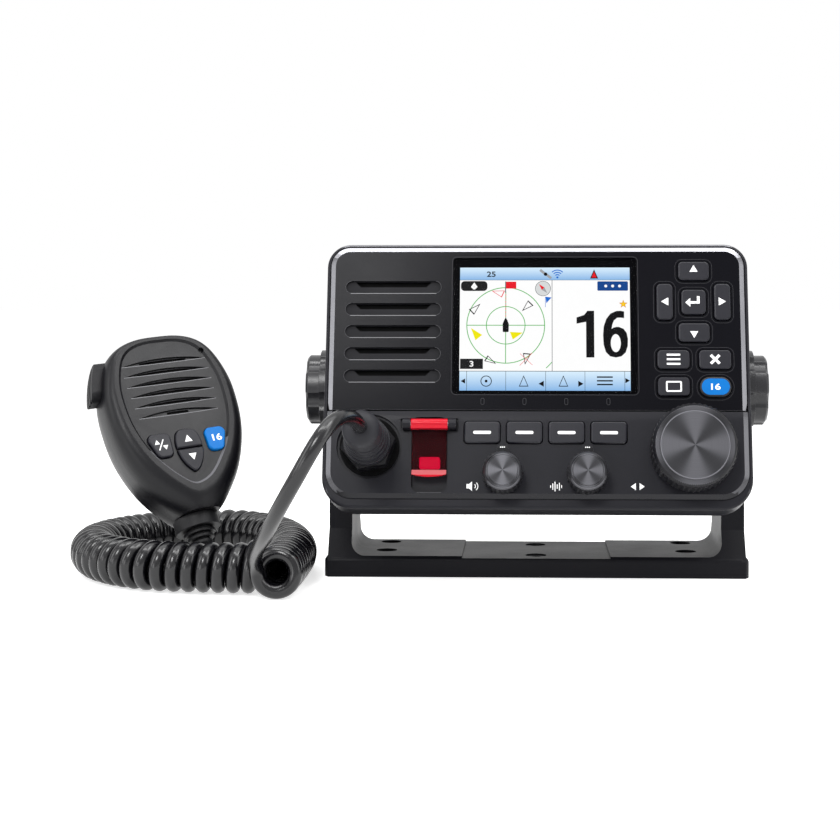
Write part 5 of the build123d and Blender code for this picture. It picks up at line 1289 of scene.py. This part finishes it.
def make_floor():
    bpy.ops.object.select_all(action="DESELECT")
    bpy.ops.mesh.primitive_plane_add(size=1, location=(0, 0, 0))
    floor = bpy.context.view_layer.objects.active
    floor.name = "floor"
    floor.data.transform(
        Matrix.Translation((0, 0, -FLOOR_DROP)) @ Matrix.Diagonal((FLOOR_SIDE, FLOOR_SIDE, 1, 1)))
    floor.data.materials.append(stage_material())


def light_world():
    world = bpy.data.worlds.new("studio")
    bpy.context.scene.world = world
    world.use_nodes = True
    tree = world.node_tree
    background = tree.nodes["Background"]
    background.inputs["Color"].default_value = (1, 1, 1, 1)
    strength = add_node(tree, "ShaderNodeMapRange", {
        "Value": seen_directly(tree), "To Min": WORLD_LIGHT, "To Max": 1.0})
    tree.links.new(strength.outputs["Result"], background.inputs["Strength"])


def place_lamps():
    for name, (place, wide, deep, power) in LAMPS.items():
        data = bpy.data.lights.new(name, "AREA")
        data.shape, data.size, data.size_y, data.energy = "RECTANGLE", wide, deep, power
        lamp = bpy.data.objects.new(name, data)
        lamp.location = place
        lamp.rotation_euler = (LAMP_AIM - Vector(place)).to_track_quat("-Z", "Y").to_euler()
        bpy.context.scene.collection.objects.link(lamp)


def place_camera():
    data = bpy.data.cameras.new("camera")
    data.lens, data.sensor_width = bpy.context.scene.radio_stage.lens, 36.0
    data.shift_x, data.shift_y = CAMERA_SHIFT, CAMERA_SHIFT
    data.clip_start, data.clip_end = 0.05, 50.0
    camera = bpy.data.objects.new("camera", data)
    camera.location = CAMERA_PLACE
    camera.rotation_euler = (math.radians(90) - CAMERA_PITCH, 0, CAMERA_YAW)
    bpy.context.scene.collection.objects.link(camera)
    bpy.context.scene.camera = camera


def make_stage():
    make_floor()
    light_world()
    place_lamps()
    place_camera()
    bpy.context.scene.view_settings.view_transform = "Standard"


# ---------------------------------------------------------------- operators
class RADIO_OT_inside(bpy.types.Operator):
    """Finish the boards and the inner pieces"""
    bl_idname = "radio.inside"
    bl_label = "Inside"

    def execute(self, context):
        dress_inside()
        return {"FINISHED"}


class RADIO_OT_bracket(bpy.types.Operator):
    """Finish the bracket, its clamp knobs and washers"""
    bl_idname = "radio.bracket"
    bl_label = "Bracket"

    def execute(self, context):
        dress_bracket()
        return {"FINISHED"}


class RADIO_OT_case(bpy.types.Operator):
    """Finish the front case and the upper panel"""
    bl_idname = "radio.case"
    bl_label = "Case"

    def execute(self, context):
        dress_case()
        return {"FINISHED"}


class RADIO_OT_window(bpy.types.Operator):
    """Make the cover glass and its black border"""
    bl_idname = "radio.window"
    bl_label = "Window"

    def execute(self, context):
        dress_window()
        return {"FINISHED"}


class RADIO_OT_screen(bpy.types.Operator):
    """Draw the picture on the display"""
    bl_idname = "radio.screen"
    bl_label = "Screen"

    def execute(self, context):
        draw_screen()
        return {"FINISHED"}


class RADIO_OT_keys(bpy.types.Operator):
    """Finish the panel keys and print their signs"""
    bl_idname = "radio.keys"
    bl_label = "Keys"

    def execute(self, context):
        dress_keys()
        return {"FINISHED"}


class RADIO_OT_knobs(bpy.types.Operator):
    """Finish the three knobs and their spun discs"""
    bl_idname = "radio.knobs"
    bl_label = "Knobs"

    def execute(self, context):
        dress_knobs()
        return {"FINISHED"}


class RADIO_OT_distress(bpy.types.Operator):
    """Finish the clear cover and the button under it"""
    bl_idname = "radio.distress"
    bl_label = "Distress switch"

    def execute(self, context):
        dress_distress()
        return {"FINISHED"}


class RADIO_OT_plug(bpy.types.Operator):
    """Finish the microphone plug and its boot"""
    bl_idname = "radio.plug"
    bl_label = "Plug"

    def execute(self, context):
        dress_plug()
        return {"FINISHED"}


class RADIO_OT_rear(bpy.types.Operator):
    """Finish the chassis and its sockets"""
    bl_idname = "radio.rear"
    bl_label = "Rear"

    def execute(self, context):
        dress_rear()
        return {"FINISHED"}


class RADIO_OT_microphone(bpy.types.Operator):
    """Finish the fist microphone and print its signs"""
    bl_idname = "radio.microphone"
    bl_label = "Microphone"

    def execute(self, context):
        dress_microphone()
        return {"FINISHED"}


class RADIO_OT_cord(bpy.types.Operator):
    """Make the curly cord"""
    bl_idname = "radio.cord"
    bl_label = "Cord"

    def execute(self, context):
        make_cord()
        return {"FINISHED"}


class RADIO_OT_stage(bpy.types.Operator):
    """Make the floor, lamps and camera"""
    bl_idname = "radio.stage"
    bl_label = "Stage"

    def execute(self, context):
        make_stage()
        return {"FINISHED"}


OPERATORS = (
    RADIO_OT_inside, RADIO_OT_bracket, RADIO_OT_case, RADIO_OT_window, RADIO_OT_screen, RADIO_OT_keys,
    RADIO_OT_knobs, RADIO_OT_distress, RADIO_OT_plug, RADIO_OT_rear, RADIO_OT_microphone, RADIO_OT_cord,
    RADIO_OT_stage,
)


class RADIO_PT_tools(bpy.types.Panel):
    bl_idname = "RADIO_PT_tools"
    bl_label = "Marine radio"
    bl_space_type = "VIEW_3D"
    bl_region_type = "UI"
    bl_category = "Radio"

    def draw(self, context):
        for kind in OPERATORS:
            self.layout.operator(kind.bl_idname)
        for name, group in GROUPS:
            for field in group.__annotations__:
                self.layout.prop(getattr(context.scene, name), field)


CLASSES = (*(group for _, group in GROUPS), *OPERATORS, RADIO_PT_tools)


def register():
    for kind in CLASSES:
        bpy.utils.register_class(kind)
    for name, group in GROUPS:
        setattr(bpy.types.Scene, name, bpy.props.PointerProperty(type=group))


def unregister():
    for name, _ in GROUPS:
        delattr(bpy.types.Scene, name)
    for kind in reversed(CLASSES):
        bpy.utils.unregister_class(kind)


def main():
    register()
    for kind in OPERATORS:
        group, name = kind.bl_idname.split(".")
        getattr(getattr(bpy.ops, group), name)()


if __name__ == "__main__":
    main()
